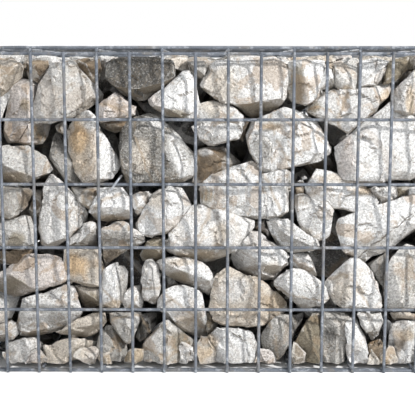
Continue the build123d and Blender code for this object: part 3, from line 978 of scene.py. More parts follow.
def cutBlock(middle, planes):
    # The block left by cutting everything outside the planes, each (normal, distance from the origin).
    # Its corners are found from the hull of each plane's pole, the normal over the distance from the middle.
    planes = np.array(planes, float)
    distances = planes[:, 3] - planes[:, :3] @ middle
    if distances.min() < stoneMaking["thinnest"]:
        return None
    poles = planes[:, :3] / distances[:, None]
    work = bmesh.new()
    keys = [work.verts.new(pole) for pole in poles]
    for number, key in enumerate(keys):
        key.index = number
    bmesh.ops.convex_hull(work, input=work.verts)
    trios = [[corner.index for corner in face.verts] for face in work.faces if len(face.verts) == 3]
    trios = np.array(trios)
    work.free()
    normals = planes[trios][:, :, :3]
    sound = np.abs(np.linalg.det(normals)) > stoneMaking["tolerance"]
    corners = np.linalg.solve(normals[sound], distances[trios[sound]][:, :, None])[:, :, 0]
    inside = (corners @ planes[:, :3].T <= distances + stoneMaking["tolerance"]).all(axis=1)
    if inside.sum() < stoneMaking["fewestCorners"]:
        return None
    return hullOf(corners[inside] + middle)


def bayPlanes(bay):
    # The walls of a bay and the chamfers at its upright corners
    low, high = bayBoxes[bay]
    planes = []
    for axis in range(3):
        for sign, limit in ((1, high[axis]), (-1, low[axis])):
            normal = [0.0, 0.0, 0.0]
            normal[axis] = sign
            planes.append([*normal, sign * limit])
    for signX, limitX in ((1, high[0]), (-1, low[0])):
        for signY, limitY in ((1, high[1]), (-1, low[1])):
            outwards = Vector((signX, signY, 0))
            corner = Vector((limitX, limitY, 0)) - outwards * stoneMaking["chamfer"] / 2
            normal = outwards.normalized()
            planes.append([*normal, normal.dot(corner)])
    return planes


def chipPlanes(corners, size, count, least, most, facing):
    # Planes that shave a little off a block, as a hammer does; facing says how far they turn to the front
    planes = []
    while len(planes) < count:
        normal = randomDirection()
        if -normal.y > facing:
            reach = max(np.array(corners) @ np.array(normal))
            planes.append([*normal, reach - chance.uniform(least * size, most * size)])
    return planes


def distanceToLine(point, line):
    # How far a picture point is from a line of points, and on which side: positive is below a line that
    # runs to the right, and left of one that runs down
    best = (math.inf, 0)
    for start, end in zip(line, line[1:]):
        alongX, alongY = end[0] - start[0], end[1] - start[1]
        length = math.hypot(alongX, alongY)
        share = ((point[0] - start[0]) * alongX + (point[1] - start[1]) * alongY) / length ** 2
        held = min(max(share, 0), 1)
        gap = math.hypot(point[0] - start[0] - held * alongX, point[1] - start[1] - held * alongY)
        side = alongX * (point[1] - start[1]) - alongY * (point[0] - start[0])
        if gap < best[0]:
            best = (gap, side)
    return best


def isRightOrBelow(crest):
    # Whether the positive side of distanceToLine is the right side, or the side below, of this crest
    alongX, alongY = crest[-1][0] - crest[0][0], crest[-1][1] - crest[0][1]
    if abs(alongY) > abs(alongX):
        return alongY < 0
    return alongX > 0


def guessedCrest(middle, span):
    # Where no crest was read, one runs roughly along the stone
    angle = math.atan2(span[1], span[0]) * chance.choice((1, -1)) + spread(windowMaking["crestTurn"])
    half = windowMaking["crestReach"] * max(span)
    shift = [spread(windowMaking["crestShift"]) * span[axis] for axis in range(2)]
    along = (half * math.cos(angle), half * math.sin(angle))
    return [tuple(middle[axis] + shift[axis] + sign * along[axis] for axis in range(2)) for sign in (-1, 1)]


def windowStone(name):
    look, making = windowStones[name], windowMaking
    rim = look["rim"]
    setBack = look.get("behind", 0) / 1000 + chance.uniform(*making["setBack"])
    middle = [sum(point[axis] for point in rim) / len(rim) for axis in range(2)]
    span = [max(point[axis] for point in rim) - min(point[axis] for point in rim) for axis in range(2)]
    crest = look.get("crest") or guessedCrest(middle, span)
    slopes = look.get("slopes") or [chance.uniform(*limits) for limits in making["slopes"]]

    def towards(point, share, depth):
        # A point this share of the way from the middle to a point of the rim
        place = [middle[axis] + (point[axis] - middle[axis]) * share for axis in range(2)]
        return fromPixel(*place, depth)

    points = [fromPixel(*point, setBack + chance.uniform(0, making["crestWaver"])) for point in crest]
    depths = []
    for point in rim:
        gap, side = distanceToLine(point, crest)
        slope = slopes[1] * making["farRelief"] if (side > 0) == isRightOrBelow(crest) else slopes[0]
        fall = min(max(gap * pixelSize * slope * making["relief"], making["falls"][0]), making["falls"][1])
        depths.append(setBack + fall + chance.uniform(0, making["rimWaver"]))
    for knuckle in range(making["knuckles"]):
        number = chance.randrange(len(rim))
        share = chance.uniform(*making["knuckleShare"])
        sunk = (depths[number] - setBack) * share * chance.uniform(*making["knuckleSunk"])
        points.append(towards(rim[number], share, setBack + sunk))
    least, most = making["thickness"]
    thickness = min(most, max(least, making["thicknessShare"] * min(span) * pixelSize))
    thickness += chance.uniform(0, making["thicknessWaver"])
    drawnIn, waist = making["waist"]
    for point, depth in zip(rim, depths):
        away = math.hypot(point[0] - middle[0], point[1] - middle[1])
        bevel = min(chance.uniform(*making["bevel"]), making["bevelMost"] * away)
        fallen = depth + bevel * pixelSize * chance.uniform(*making["bevelSlope"])
        points.append(towards(point, 1 - bevel / away, depth))
        points.append(fromPixel(*point, fallen))
        points.append(towards(point, drawnIn, fallen + waist * thickness))
        points.append(towards(point, making["back"], max(depths) + thickness))
    corners, triangles, flats = hullOf(points)
    low, high = bayBoxes["right"]
    inBox = np.clip(corners.mean(axis=0), low + making["middleInside"], high - making["middleInside"])
    planes = list(flats) + bayPlanes("right")
    size = min(span) * pixelSize
    chips = chipPlanes(corners, size, *making["frontChips"])
    chips += chipPlanes(corners, size, *making["otherChips"])
    return cutBlock(inBox, planes + chips) or cutBlock(inBox, planes)


def tieRods():
    # The straight run of every bracing tie, as its place along the wall and its height
    rods = []
    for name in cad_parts:
        if name.startswith("bracing_tie"):
            low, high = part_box(name)
            rods.append((high.x - tieMaking["wire"] / 2, high.z - tieMaking["wire"] / 2))
    return rods


rods = tieRods()
windowFrom, windowTo = [fromPixel(*point, 0).x for point in packing["windowSides"]]


def isSeen(place, bay, behindStones):
    # Whether a small stone would show from outside, or through the gaps between the stones of the picture
    low, high = bayBoxes[bay]
    fromEnd = place[0] - low[0] if bay == "left" else high[0] - place[0]
    depth = min(place[1] - low[1], high[1] - place[1], high[2] - place[2], fromEnd)
    behindWindow = behindStones and windowFrom < place[0] < windowTo and place[1] < 0
    return depth <= packing["seenDepth"] or behindWindow


def isClear(place, radius, bay, packed, isChip):
    # Whether a stone keeps off the stones of the picture and the ties
    if packed is not None:
        spare = packing["windowSpare"] * radius
        inWindow = windowFrom - spare < place[0] < windowTo + spare
        if inWindow and not isChip and place[1] - bayBoxes[bay][0][1] < packing["windowDepth"] + radius:
            return False
        point = Vector(place)
        near, normal, index, gap = packed.find_nearest(point)
        if gap < packing["clear"] * radius or (point - near).dot(normal) < 0:
            return False
    rodReach = packing["rodClear"] * radius
    return not any(math.hypot(place[0] - rod[0], place[2] - rod[1]) < rodReach for rod in rods)


def placeSeeds(bay, packed):
    # Throws stones into a bay, large ones first: a row is the middle and the radius of each that fits
    low, high = bayBoxes[bay]
    front, back, top, end = packing["walls"]
    seeds = np.zeros((packing["mostStones"], 4))
    count = 0
    for least, most, tries, closeness in packing["classes"]:
        isChip = most < packing["chipSize"]
        for attempt in range(tries):
            radius = chance.uniform(least, most)
            inset = packing["inset"] * radius
            place = [chance.uniform(low[axis] + inset, high[axis] - inset) for axis in range(3)]
            wall = chance.random()         # which wall it is pushed against, if any
            depth = chance.uniform(*packing["touching"]) * radius
            if isChip:
                wall = chance.choice((0, front))
                place[2] = low[2] + depth
            if wall < front:
                place[1] = low[1] + depth
            elif wall < back:
                place[1] = high[1] - depth
            elif wall < top:
                place[2] = high[2] - depth
            elif wall < end:
                place[0] = (low[0] + depth) if bay == "left" else (high[0] - depth)
            if least < packing["middleSize"] and not isSeen(place, bay, packed is not None):
                continue
            if not isClear(place, radius, bay, packed, isChip):
                continue
            if count:
                gaps = np.linalg.norm(seeds[:count, :3] - place, axis=1)
                if (gaps < closeness * (seeds[:count, 3] + radius)).any():
                    continue
            seeds[count] = [*place, radius]
            count += 1
    return seeds[:count]


def jointPlane(seeds, number, other):
    # The plane between two neighbours, the same for both apart from a small gap
    first, second = sorted((int(number), int(other)))
    pair = random.Random(first * packing["pairStep"] + second)
    away = Vector(seeds[second, :3] - seeds[first, :3])
    lean = Vector([pair.uniform(-1, 1) for axis in range(3)]) * packing["tilt"]
    normal = (away.normalized() + lean).normalized()
    share = seeds[first, 3] / (seeds[first, 3] + seeds[second, 3])
    share += pair.uniform(-packing["shareSpread"], packing["shareSpread"])
    level = normal.dot(Vector(seeds[first, :3]) + away * share)
    if number == first:
        return [*normal, level - packing["gap"] / 2]
    return [*-normal, -level - packing["gap"] / 2]


def neighbourPlanes(number, seeds, hulls):
    # What cuts a stone from outside: its neighbours, the stones of the picture and the ties
    place, radius = Vector(seeds[number, :3]), seeds[number, 3]
    gaps = np.linalg.norm(seeds[:, :3] - seeds[number, :3], axis=1)
    near = (gaps > 0) & (gaps < packing["pairReach"] * (seeds[:, 3] + radius))
    planes = [jointPlane(seeds, number, other) for other in np.nonzero(near)[0]]
    reach = packing["reach"] * radius
    for tree, centre, size in hulls:
        if (centre - place).length > size + reach:
            continue
        touched, normal, index, gap = tree.find_nearest(place)
        if gap < reach:
            normal = (touched - place).normalized()
            planes.append([*normal, normal.dot(touched) - packing["gap"]])
    for across, height in rods:
        offset = Vector((across - place.x, 0, height - place.z))
        if offset.length < reach:
            normal = offset.normalized()
            planes.append([*normal, normal.dot(place) + offset.length - tieMaking["clearance"]])
    return planes


def meshPlanes(place, radius, bay):
    # Three facets against each mesh nearby: the stone touches it at one point and falls away from it
    low, high = bayBoxes[bay]
    planes = []
    shownWalls = [(1, low[1], -1), (1, high[1], 1), (2, high[2], 1)]
    shownWalls.append((0, low[0], -1) if bay == "left" else (0, high[0], 1))
    for axis, limit, sign in shownWalls:
        if abs(limit - place[axis]) > packing["wallReach"] * radius:
            continue
        isTop = axis == 2
        peak = place.copy()
        for side in range(3):
            peak[side] += spread(packing["peakShift"]) * radius
        peak[axis] = limit - sign * chance.uniform(*packing["topPeakDepth" if isTop else "peakDepth"])
        turn = chance.uniform(0, math.tau)
        for facet in range(3):
            tilt = math.radians(chance.uniform(*packing["topFacetTilt" if isTop else "facetTilt"]))
            around = turn + facet * math.tau / 3 + spread(packing["facetTurn"])
            normal = Vector((0, 0, 0))
            normal[axis] = sign * math.cos(tilt)
            normal[(axis + 1) % 3] = math.sin(tilt) * math.cos(around)
            normal[(axis + 2) % 3] = math.sin(tilt) * math.sin(around)
            planes.append([*normal, normal.dot(peak)])
    return planes


def ownPlanes(place, radius):
    # A few broken flats of the stone's own, round a longish shape
    turn = Euler([chance.uniform(0, math.tau) for axis in range(3)]).to_matrix()
    shape = Vector((chance.uniform(*packing["longer"]), 1.0, chance.uniform(*packing["flatter"])))
    planes = []
    for facet in range(packing["ownFacets"]):
        normal = randomDirection()
        own = turn @ normal
        stretch = math.sqrt(sum((own[axis] * shape[axis]) ** 2 for axis in range(3)))
        reach = radius * stretch * chance.uniform(*packing["ownReach"])
        planes.append([*normal, normal.dot(place) + reach])
    return planes


def packedStone(number, seeds, bay, hulls):
    place, radius = Vector(seeds[number, :3]), seeds[number, 3]
    planes = bayPlanes(bay) + neighbourPlanes(number, seeds, hulls)
    planes += meshPlanes(place, radius, bay) + ownPlanes(place, radius)
    return cutBlock(np.array(place), planes)


def joinBlocks(blocks):
    # All blocks as one net, and the number of the block that each point is part of
    offsets = np.cumsum([0] + [len(block[0]) for block in blocks])
    points = np.concatenate([block[0] for block in blocks])
    triangles = np.concatenate([block[1] + offset for block, offset in zip(blocks, offsets)])
    owner = np.concatenate([np.full(len(block[0]), number) for number, block in enumerate(blocks)])
    return points, triangles, owner


def edgesOf(triangles):
    return np.concatenate([triangles[:, [0, 1]], triangles[:, [1, 2]], triangles[:, [2, 0]]])


def splitTriangles(triangles, splits):
    # Cuts every triangle at the fresh points on its edges, where -1 stands for an edge that stays whole
    marks = (splits >= 0).sum(axis=1)
    flat = triangles[:, 3]
    made = [triangles[marks == 0]]
    for turned in range(3):            # turns each triangle until its split edges come first
        order = [turned, (turned + 1) % 3, (turned + 2) % 3]
        first, second, third = triangles[:, order].T
        one, two, three = splits[:, order].T
        single = (marks == 1) & (one >= 0)
        made.append(np.stack([first, one, third, flat], 1)[single])
        made.append(np.stack([one, second, third, flat], 1)[single])
        double = (marks == 2) & (three < 0)
        made.append(np.stack([one, second, two, flat], 1)[double])
        made.append(np.stack([first, one, two, flat], 1)[double])
        made.append(np.stack([first, two, third, flat], 1)[double])
    every = marks == 3
    for corner in range(3):
        outer = [triangles[:, corner], splits[:, corner], splits[:, (corner + 2) % 3], flat]
        made.append(np.stack(outer, 1)[every])
    made.append(np.stack([*splits.T, flat], 1)[every])
    return np.concatenate(made)


def refine(points, triangles, owner, limitAt):
    # Splits every edge that is longer than its place allows, again and again.
    # A triangle is a row of three corners and the number of the flat that it is part of.
    for turn in range(stoneMaking["mostSplits"]):
        count = len(points)
        edges = np.sort(edgesOf(triangles), axis=1)
        keys, back = np.unique(edges[:, 0] * count + edges[:, 1], return_inverse=True)
        starts, ends = keys // count, keys % count
        middles = (points[starts] + points[ends]) / 2
        long = np.linalg.norm(points[starts] - points[ends], axis=1) > limitAt(middles)
        if not long.any():
            break
        fresh = np.full(len(keys), -1)
        fresh[long] = count + np.arange(long.sum())
        points = np.concatenate([points, middles[long]])
        owner = np.concatenate([owner, owner[starts[long]]])
        triangles = splitTriangles(triangles, fresh[back].reshape(3, -1).T)
    return points, triangles, owner


def neighbourMean(points, triangles):
    count = len(points)
    pairs = edgesOf(triangles)
    number = np.bincount(pairs[:, 0], minlength=count)
    sums = [np.bincount(pairs[:, 0], weights=points[pairs[:, 1], axis], minlength=count) for axis in range(3)]
    return np.stack(sums, 1) / np.maximum(number, 1)[:, None]


def triangleNormals(points, triangles):
    # As long as twice the area of each triangle
    starts = points[triangles[:, 0]]
    return np.cross(points[triangles[:, 1]] - starts, points[triangles[:, 2]] - starts)


def cornerNormals(points, triangles):
    faces = triangleNormals(points, triangles)
    sums = np.zeros((len(points), 3))
    for corner in range(3):
        for axis in range(3):
            sums[:, axis] += np.bincount(triangles[:, corner], weights=faces[:, axis], minlength=len(points))
    return sums / np.maximum(np.linalg.norm(sums, axis=1), 1e-12)[:, None]


def crispEdges(mesh, triangles, flatNormals):
    # Keeps the shading crisp where two flats of a block meet, and wherever the surface turns sharply
    mesh.set_sharp_from_angle(angle=math.radians(stoneMaking["crispFrom"]))
    count = len(mesh.vertices)
    pairs = np.sort(edgesOf(triangles), axis=1)
    keys, flats = pairs[:, 0] * count + pairs[:, 1], np.tile(triangles[:, 3], 3)
    order = np.argsort(keys, kind="stable")
    keys, flats = keys[order], flats[order]
    same = np.nonzero(keys[1:] == keys[:-1])[0]
    turned = (flatNormals[flats[same]] * flatNormals[flats[same + 1]]).sum(1)
    ridges = keys[same][turned < math.cos(math.radians(stoneMaking["ridgeFrom"]))]
    ends = np.zeros(2 * len(mesh.edges), int)
    mesh.edges.foreach_get("vertices", ends)
    ends = np.sort(ends.reshape(-1, 2), axis=1)
    sharp = np.zeros(len(mesh.edges), bool)
    mesh.attributes["sharp_edge"].data.foreach_get("value", sharp)
    sharp |= np.isin(ends[:, 0] * count + ends[:, 1], ridges)
    mesh.attributes["sharp_edge"].data.foreach_set("value", sharp)


def insetFrom(bay, points):
    # How deep points are behind the nearest mesh that shows
    low, high = bayBoxes[bay]
    ends = points[:, 0] - low[0] if bay == "left" else high[0] - points[:, 0]
    return np.minimum.reduce([points[:, 1] - low[1], high[1] - points[:, 1], high[2] - points[:, 2], ends])


def roughnessAt(place, perMetre, high, octaves):
    return high * noise.fractal(place * perMetre, *octaves)


def brokenRelief(place):
    # How far a broken face stands out here: soft lumps, grit, and small flat facets that lean at random
    height = stoneMaking["swell"] + roughnessAt(place, **stoneMaking["lumps"])
    height += roughnessAt(place, **stoneMaking["grit"])
    for perMetre, lean in stoneMaking["facets"]:
        heights = []
        for cell in noise.voronoi(place * perMetre)[1]:
            slope = noise.noise_vector(cell * stoneMaking["facetSeed"])
            heights.append((place - cell / perMetre).dot(slope))
        height += lean * min(heights)
    return height


def shapeStones(bay, blocks, edge):
    # Joins blocks into one net, finer where they show, and gives them worn edges and rough faces
    points, triangles, owner = joinBlocks(blocks)
    flatNormals = triangleNormals(points, triangles)
    flatNormals /= np.maximum(np.linalg.norm(flatNormals, axis=1), 1e-15)[:, None]
    triangles = np.column_stack([triangles, np.arange(len(triangles))])

    def limitAt(places):
        inset = insetFrom(bay, places)
        steps = [inset < stoneMaking["faceReach"], inset < stoneMaking["deepReach"]]
        return np.select(steps, [edge, stoneMaking["deepEdge"]], stoneMaking["hiddenEdge"])

    points, triangles, owner = refine(points, triangles, owner, limitAt)
    towards = neighbourMean(points, triangles)
    ridge = ((points - towards) * cornerNormals(points, triangles)).sum(1) / edge
    shown = insetFrom(bay, points) < stoneMaking["deepReach"]
    wear = np.where(shown, stoneMaking["wornEdge"], stoneMaking["hiddenWear"])
    points = points + (towards - points) * wear[:, None]
    normals = cornerNormals(points, triangles)
    shifts = np.array([[spread(stoneMaking["grainShift"]) for axis in range(3)] for block in blocks])
    turns = [Euler([chance.uniform(0, math.tau) for axis in range(3)]).to_matrix() for block in blocks]
    own = points + shifts[owner]
    height = np.zeros(len(points))
    height[shown] = [brokenRelief(Vector(point)) for point in own[shown]]
    return {
        "points": np.clip(points + normals * height[:, None], *bayBoxes[bay]),
        "triangles": triangles,
        "owner": owner,
        "flatNormals": flatNormals,
        "ridge": ridge,
        "grain": np.einsum("nij,nj->ni", np.array([np.array(turn) for turn in turns])[owner], own),
    }


def softMask(distance, points, seed):
    perMetre, share = stoneMaking["patchWaver"]
    end, fade = stoneMaking["patchEdge"]
    wobble = np.array([noise.noise(Vector(point) * perMetre + seed) for point in points])
    return np.clip((end - distance - share * wobble) / fade, 0, 1)


def readPatches(shade, places, look, seed):
    # The patches that were read from the picture, and where the white ones leave no specks
    clean = np.ones(len(places))
    spots = toPicture(places)
    # some of these patches are painted light on lit facets and painted shade on facets that turn away
    for word, across, down, halfWidth, halfHeight in look.get("patches", []):
        distance = np.hypot((spots[:, 0] - across) / halfWidth, (spots[:, 1] - down) / halfHeight)
        mask = windowMaking["patchCover"] * softMask(distance, places, seed)
        shade = shade + mask[:, None] * (np.array(stoneColours[word]) - shade)
        if word == "white":
            clean *= 1 - mask
    return shade, clean


def guessedPatches(shade, places, seed):
    for patch in range(chance.choice(packing["patchCounts"])):
        colour = np.array(stoneColours[chance.choice(packing["patchLooks"])])
        spot = places[chance.randrange(len(places))]
        distance = np.linalg.norm(places - spot, axis=1) / chance.uniform(*packing["patchReach"])
        mask = softMask(distance, places, seed)[:, None] * chance.uniform(*packing["patchCover"])
        shade = shade + mask * (colour - shade)
    return shade


def stoneLines(places, look, cracked):
    # How far each point is from where a vein runs, and from where a crack does
    lines = np.ones((len(places), 3))
    if "cracks" in look:
        lines[:, 1] = lineInPicture(places, look["cracks"][0])
        return lines
    middle = places.mean(axis=0)
    for slot, likely in ((0, stoneMaking["veined"]), (1, cracked)):
        if chance.random() < likely:
            away = (places - middle) @ np.array(randomDirection())
            lines[:, slot] = away + spread(stoneMaking["lineShift"])
    return lines


def paintStone(places, bay, look):
    # The colour, finish and lines of one stone; look is None for a stone that isn't in the picture
    isRead = look is not None
    look = look or {}
    word = look.get("look") or chance.choice(packing["looks"])
    colour = np.array(stoneColours[word]) * chance.uniform(*stoneMaking["colourSpread"])
    shade = np.tile(colour, (len(places), 1))
    clean = np.ones(len(places))
    seed = Vector([spread(stoneMaking["patchShift"]) for axis in range(3)])
    if isRead:
        shade, clean = readPatches(shade, places, look, seed)
    else:
        shade = guessedPatches(shade, places, seed)
    inset = insetFrom(bay, places)         # painted shade: the deeper inside the basket, the darker a stone
    depth = np.clip((inset - packing["shadeFrom"]) / (packing["shadeTo"] - packing["shadeFrom"]), 0, 1)
    shade = shade * (1 - (1 - packing["darkest"]) * depth)[:, None]
    drawnSpeckle = chance.choice(windowMaking["speckles"] if isRead else packing["speckles"])
    bedded, rusty = chance.uniform(*stoneMaking["bedded"]), chance.uniform(*stoneMaking["rusty"])
    if word == "dark":
        rusty *= stoneMaking["darkRust"]
    finish = np.tile([0.0, bedded, rusty, 1.0], (len(places), 1))
    finish[:, 0] = look.get("speckle", drawnSpeckle) * clean
    return shade, finish, stoneLines(places, look, 0.0 if isRead else stoneMaking["cracked"])


def makeStones(name, bay, blocks, looks, edge):
    # One piece of many stones; looks is None where none of them is in the picture
    net = shapeStones(bay, blocks, edge)
    points, triangles, owner = net["points"], net["triangles"], net["owner"]
    tint = np.ones((len(points), 4))
    finish = np.zeros((len(points), 4))
    lines = np.ones((len(points), 3))
    order = np.argsort(owner, kind="stable")
    starts = np.searchsorted(owner[order], np.arange(len(blocks) + 1))
    for number in range(len(blocks)):
        mine = order[starts[number]:starts[number + 1]]
        look = looks[number] if looks else None
        tint[mine, :3], finish[mine], lines[mine] = paintStone(points[mine], bay, look)

    mesh = bpy.data.meshes.new(name)
    mesh.from_pydata(points.tolist(), [], triangles[:, :3].tolist())
    mesh.polygons.foreach_set("use_smooth", [True] * len(mesh.polygons))
    crispEdges(mesh, triangles, net["flatNormals"])
    for label, kind, key, values in (
        ("tint", "FLOAT_COLOR", "color", tint),
        ("finish", "FLOAT_COLOR", "color", finish),
        ("grain", "FLOAT_VECTOR", "vector", net["grain"]),
        ("lines", "FLOAT_VECTOR", "vector", lines),
        ("ridge", "FLOAT", "value", net["ridge"]),
    ):
        values = np.ascontiguousarray(values, np.float32).ravel()
        mesh.attributes.new(label, kind, "POINT").data.foreach_set(key, values)
    mesh.materials.append(limestone)
    mesh.validate()
    piece = bpy.data.objects.new(name, mesh)
    scene.collection.objects.link(piece)
    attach(piece, "root")
    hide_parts("stone_fill_" + bay)
    print("  ", name, len(blocks), "stones,", len(mesh.polygons), "triangles")


def treeOf(points, triangles):
    return bvhtree.BVHTree.FromPolygons(points.tolist(), triangles.tolist())


def makeWindowStones():
    # The stones of the picture, each with its middle and its reach, and all of them as one tree
    blocks, looks, hulls = [], [], []
    for name in windowStones:
        block = windowStone(name)
        if block is None:
            print("   left out:", name)
            continue
        blocks.append(block)
        looks.append(windowStones[name])
        corners, triangles = block[0], block[1]
        centre = Vector(corners.mean(axis=0))
        reach = max(np.linalg.norm(corners - np.array(centre), axis=1))
        hulls.append((treeOf(corners, triangles), centre, reach))
    for side in ("left", "right"):
        kept = [number for number in range(len(blocks))
                if (hulls[number][1].x < windowMaking["leftUpTo"]) == (side == "left")]
        makeStones("face_stones_" + side, "right", [blocks[number] for number in kept],
                   [looks[number] for number in kept], stoneMaking["fineEdge"])
    points, triangles, owner = joinBlocks(blocks)
    return hulls, treeOf(points, triangles)


def makePackedStones(bay, hulls, packed):
    seeds = placeSeeds(bay, packed)
    parts = {"front": [], "core": [], "back": []}
    for number, seed in enumerate(seeds):
        block = packedStone(number, seeds, bay, hulls)
        if block is None:
            continue
        if seed[1] < packing["frontUpTo"]:
            parts["front"].append(block)
        elif seed[1] > packing["coreUpTo"]:
            parts["back"].append(block)
        else:
            parts["core"].append(block)
    for part, blocks in parts.items():
        makeStones(f"packed_stones_{bay}_{part}", bay, blocks, None, stoneMaking["faceEdge"])


windowHulls, windowTree = makeWindowStones()
makePackedStones("right", windowHulls, windowTree)
makePackedStones("left", [], None)

print("gabion wall: wires")

wireMaking = {
    "wire": 0.0045,
    "coat": 0.00022,           # zinc stands this much proud all round
    "sides": 10,
    "press": 0.00020,          # how far welding sinks each wire into the other
    "step": 0.020,             # between the rings of a wire
    "waver": 0.0011,           # how far a wire strays, and over how long
    "waversPerMetre": 7.5,
    "seedStep": 3.7,           # keeps the meshes from straying alike
    "weldSize": 0.0027,
    "weldNet": (8, 5),
    "weldSpread": ((0.85, 0.55, 0.85), (1.2, 0.8, 1.2)),
    "ground": 0.0001,
}

binderMaking = {
    "wire": 0.0035,
    "turns": 10,
    "sides": 8,
    "turnNet": 20,             # points to a turn
    "clearance": 0.0004,       # between the coil and the wires that it laces
    "laced": 0.0069,           # from the middle of those wires to their edges, through the wall
    "seamLaced": 0.00465,      # and along it, at a seam and at a corner
    "cornerLaced": 0.00225,
}

# Columns and rows of each mesh, and which way its uprights face: the side away from the stones on the walls
meshPlans = {
    "front_mesh": dict(columns=21, rows=6, across=(1, 0, 0), out=(0, -1, 0)),
    "back_mesh": dict(columns=21, rows=6, across=(-1, 0, 0), out=(0, 1, 0)),
    "lid_mesh": dict(columns=11, rows=4, across=(1, 0, 0), out=(0, 0, -1)),
    "base_mesh": dict(columns=11, rows=4, across=(1, 0, 0), out=(0, 0, 1)),
    "end_mesh_left": dict(columns=7, rows=6, across=(0, -1, 0), out=(-1, 0, 0)),
    "end_mesh_right": dict(columns=7, rows=6, across=(0, 1, 0), out=(1, 0, 0)),
    "partition_mesh": dict(columns=4, rows=6, across=(0, -1, 0), out=(-1, 0, 0)),
}


def newTree(name, sockets):
    sockets = [*sockets, ("Finish", "Material", None)]
    return newGroup("GeometryNodeTree", name, sockets, ("Geometry", "Geometry"))


def vectorOf(tree, x=0.0, y=0.0, z=0.0):
    return firstOf(tree, "ShaderNodeCombineXYZ", {0: x, 1: y, 2: z})


def sweptWire(tree, curve, given):
    # A round wire along a curve
    ring = firstOf(tree, "GeometryNodeCurvePrimitiveCircle", {
        "Resolution": given["Sides"], "Radius": given["Wire Radius"]})
    return firstOf(tree, "GeometryNodeCurveToMesh", {
        "Curve": curve, "Profile Curve": ring, "Fill Caps": True})


def ended(tree, geometry, material):
    # Smooth, real and painted: how every tree ends
    smooth = firstOf(tree, "GeometryNodeSetShadeSmooth", {"Geometry": geometry})
    real = firstOf(tree, "GeometryNodeRealizeInstances", {"Geometry": smooth})
    painted = firstOf(tree, "GeometryNodeSetMaterial", {"Geometry": real, "Material": material})
    addNode(tree, "NodeGroupOutput", {0: painted})


def strayOf(tree, given):
    # How far each point of a wire strays, the same at a crossing for both wires and their weld
    place = firstOf(tree, "GeometryNodeInputPosition")
    flat = crossed(tree, "MULTIPLY", place, (1.0, 0.0, 1.0))
    moved = crossed(tree, "ADD", flat, vectorOf(tree, given["Seed"], given["Seed"]))
    wander = addNode(tree, "ShaderNodeTexNoise", {
        "Vector": moved, "Scale": wireMaking["waversPerMetre"], "Detail": 2.0}).outputs["Color"]
    centred = crossed(tree, "SUBTRACT", wander, (0.5, 0.5, 0.5))
    return firstOf(tree, "ShaderNodeVectorMath", {0: centred, "Scale": given["Waver"]}, operation="SCALE")


def wireRow(tree, given, isUpright, stray):
    # All uprights of a mesh, or all its rails
    count = given["Columns" if isUpright else "Rows"]
    spread = given["Width" if isUpright else "Height"]
    length = given["Height" if isUpright else "Width"]
    start = combined(tree, "MULTIPLY", spread, -0.5)
    step = combined(tree, "DIVIDE", spread, combined(tree, "SUBTRACT", count, 1.0))
    reach = combined(tree, "MULTIPLY_ADD", length, 0.5, given["Wire Radius"])
    back = combined(tree, "MULTIPLY", reach, -1.0)
    apart = combined(tree, "SUBTRACT", given["Wire Radius"], given["Press"])
    level = combined(tree, "MULTIPLY", apart, -1.0 if isUpright else 1.0)
    row = firstOf(tree, "GeometryNodeMeshLine", {
        "Count": count,
        "Start Location": vectorOf(tree, start, level) if isUpright else vectorOf(tree, 0.0, level, start),
        "Offset": vectorOf(tree, step) if isUpright else vectorOf(tree, 0.0, 0.0, step),
    }, mode="OFFSET")
    line = firstOf(tree, "GeometryNodeCurvePrimitiveLine", {
        "Start": vectorOf(tree, 0.0, 0.0, back) if isUpright else vectorOf(tree, back),
        "End": vectorOf(tree, 0.0, 0.0, reach) if isUpright else vectorOf(tree, reach),
    })
    fine = firstOf(tree, "GeometryNodeResampleCurve", {"Curve": line, "Length": given["Step"]}, mode="LENGTH")
    copies = firstOf(tree, "GeometryNodeInstanceOnPoints", {"Points": row, "Instance": fine})
    real = firstOf(tree, "GeometryNodeRealizeInstances", {"Geometry": copies})
    bent = firstOf(tree, "GeometryNodeSetPosition", {"Geometry": real, "Offset": stray})
    return sweptWire(tree, bent, given)


def weldsOf(tree, given, stray):
    # A small drop of metal at every crossing
    grid = firstOf(tree, "GeometryNodeMeshGrid", {
        "Size X": given["Width"], "Size Y": given["Height"],
        "Vertices X": given["Columns"], "Vertices Y": given["Rows"]})
    stood = firstOf(tree, "GeometryNodeTransform", {"Geometry": grid, "Rotation": (math.pi / 2, 0, 0)})
    crossings = firstOf(tree, "GeometryNodeSetPosition", {"Geometry": stood, "Offset": stray})
    around, along = wireMaking["weldNet"]
    drop = firstOf(tree, "GeometryNodeMeshUVSphere", {
        "Segments": around, "Rings": along, "Radius": given["Weld Size"]})
    least, most = wireMaking["weldSpread"]
    size = firstOf(tree, "FunctionNodeRandomValue", {0: least, 1: most}, data_type="FLOAT_VECTOR")
    return firstOf(tree, "GeometryNodeInstanceOnPoints", {
        "Points": crossings, "Instance": drop, "Scale": size})


def makeMeshTree():
    tree, given = newTree("weldedMesh", [
        ("Width", "Float", 1.0), ("Height", "Float", 0.5), ("Columns", "Int", 21), ("Rows", "Int", 6),
        ("Wire Radius", "Float", 0.00225), ("Press", "Float", 0.0002), ("Sides", "Int", 10),
        ("Step", "Float", 0.02), ("Waver", "Float", 0.001), ("Weld Size", "Float", 0.0027),
        ("Seed", "Float", 0.0),
    ])
    stray = strayOf(tree, given)
    uprights, rails = wireRow(tree, given, True, stray), wireRow(tree, given, False, stray)
    joined = addNode(tree, "GeometryNodeJoinGeometry")
    for part in (uprights, rails, weldsOf(tree, given, stray)):
        tree.links.new(part, joined.inputs[0])
    ended(tree, joined.outputs[0], given["Finish"])
    return tree


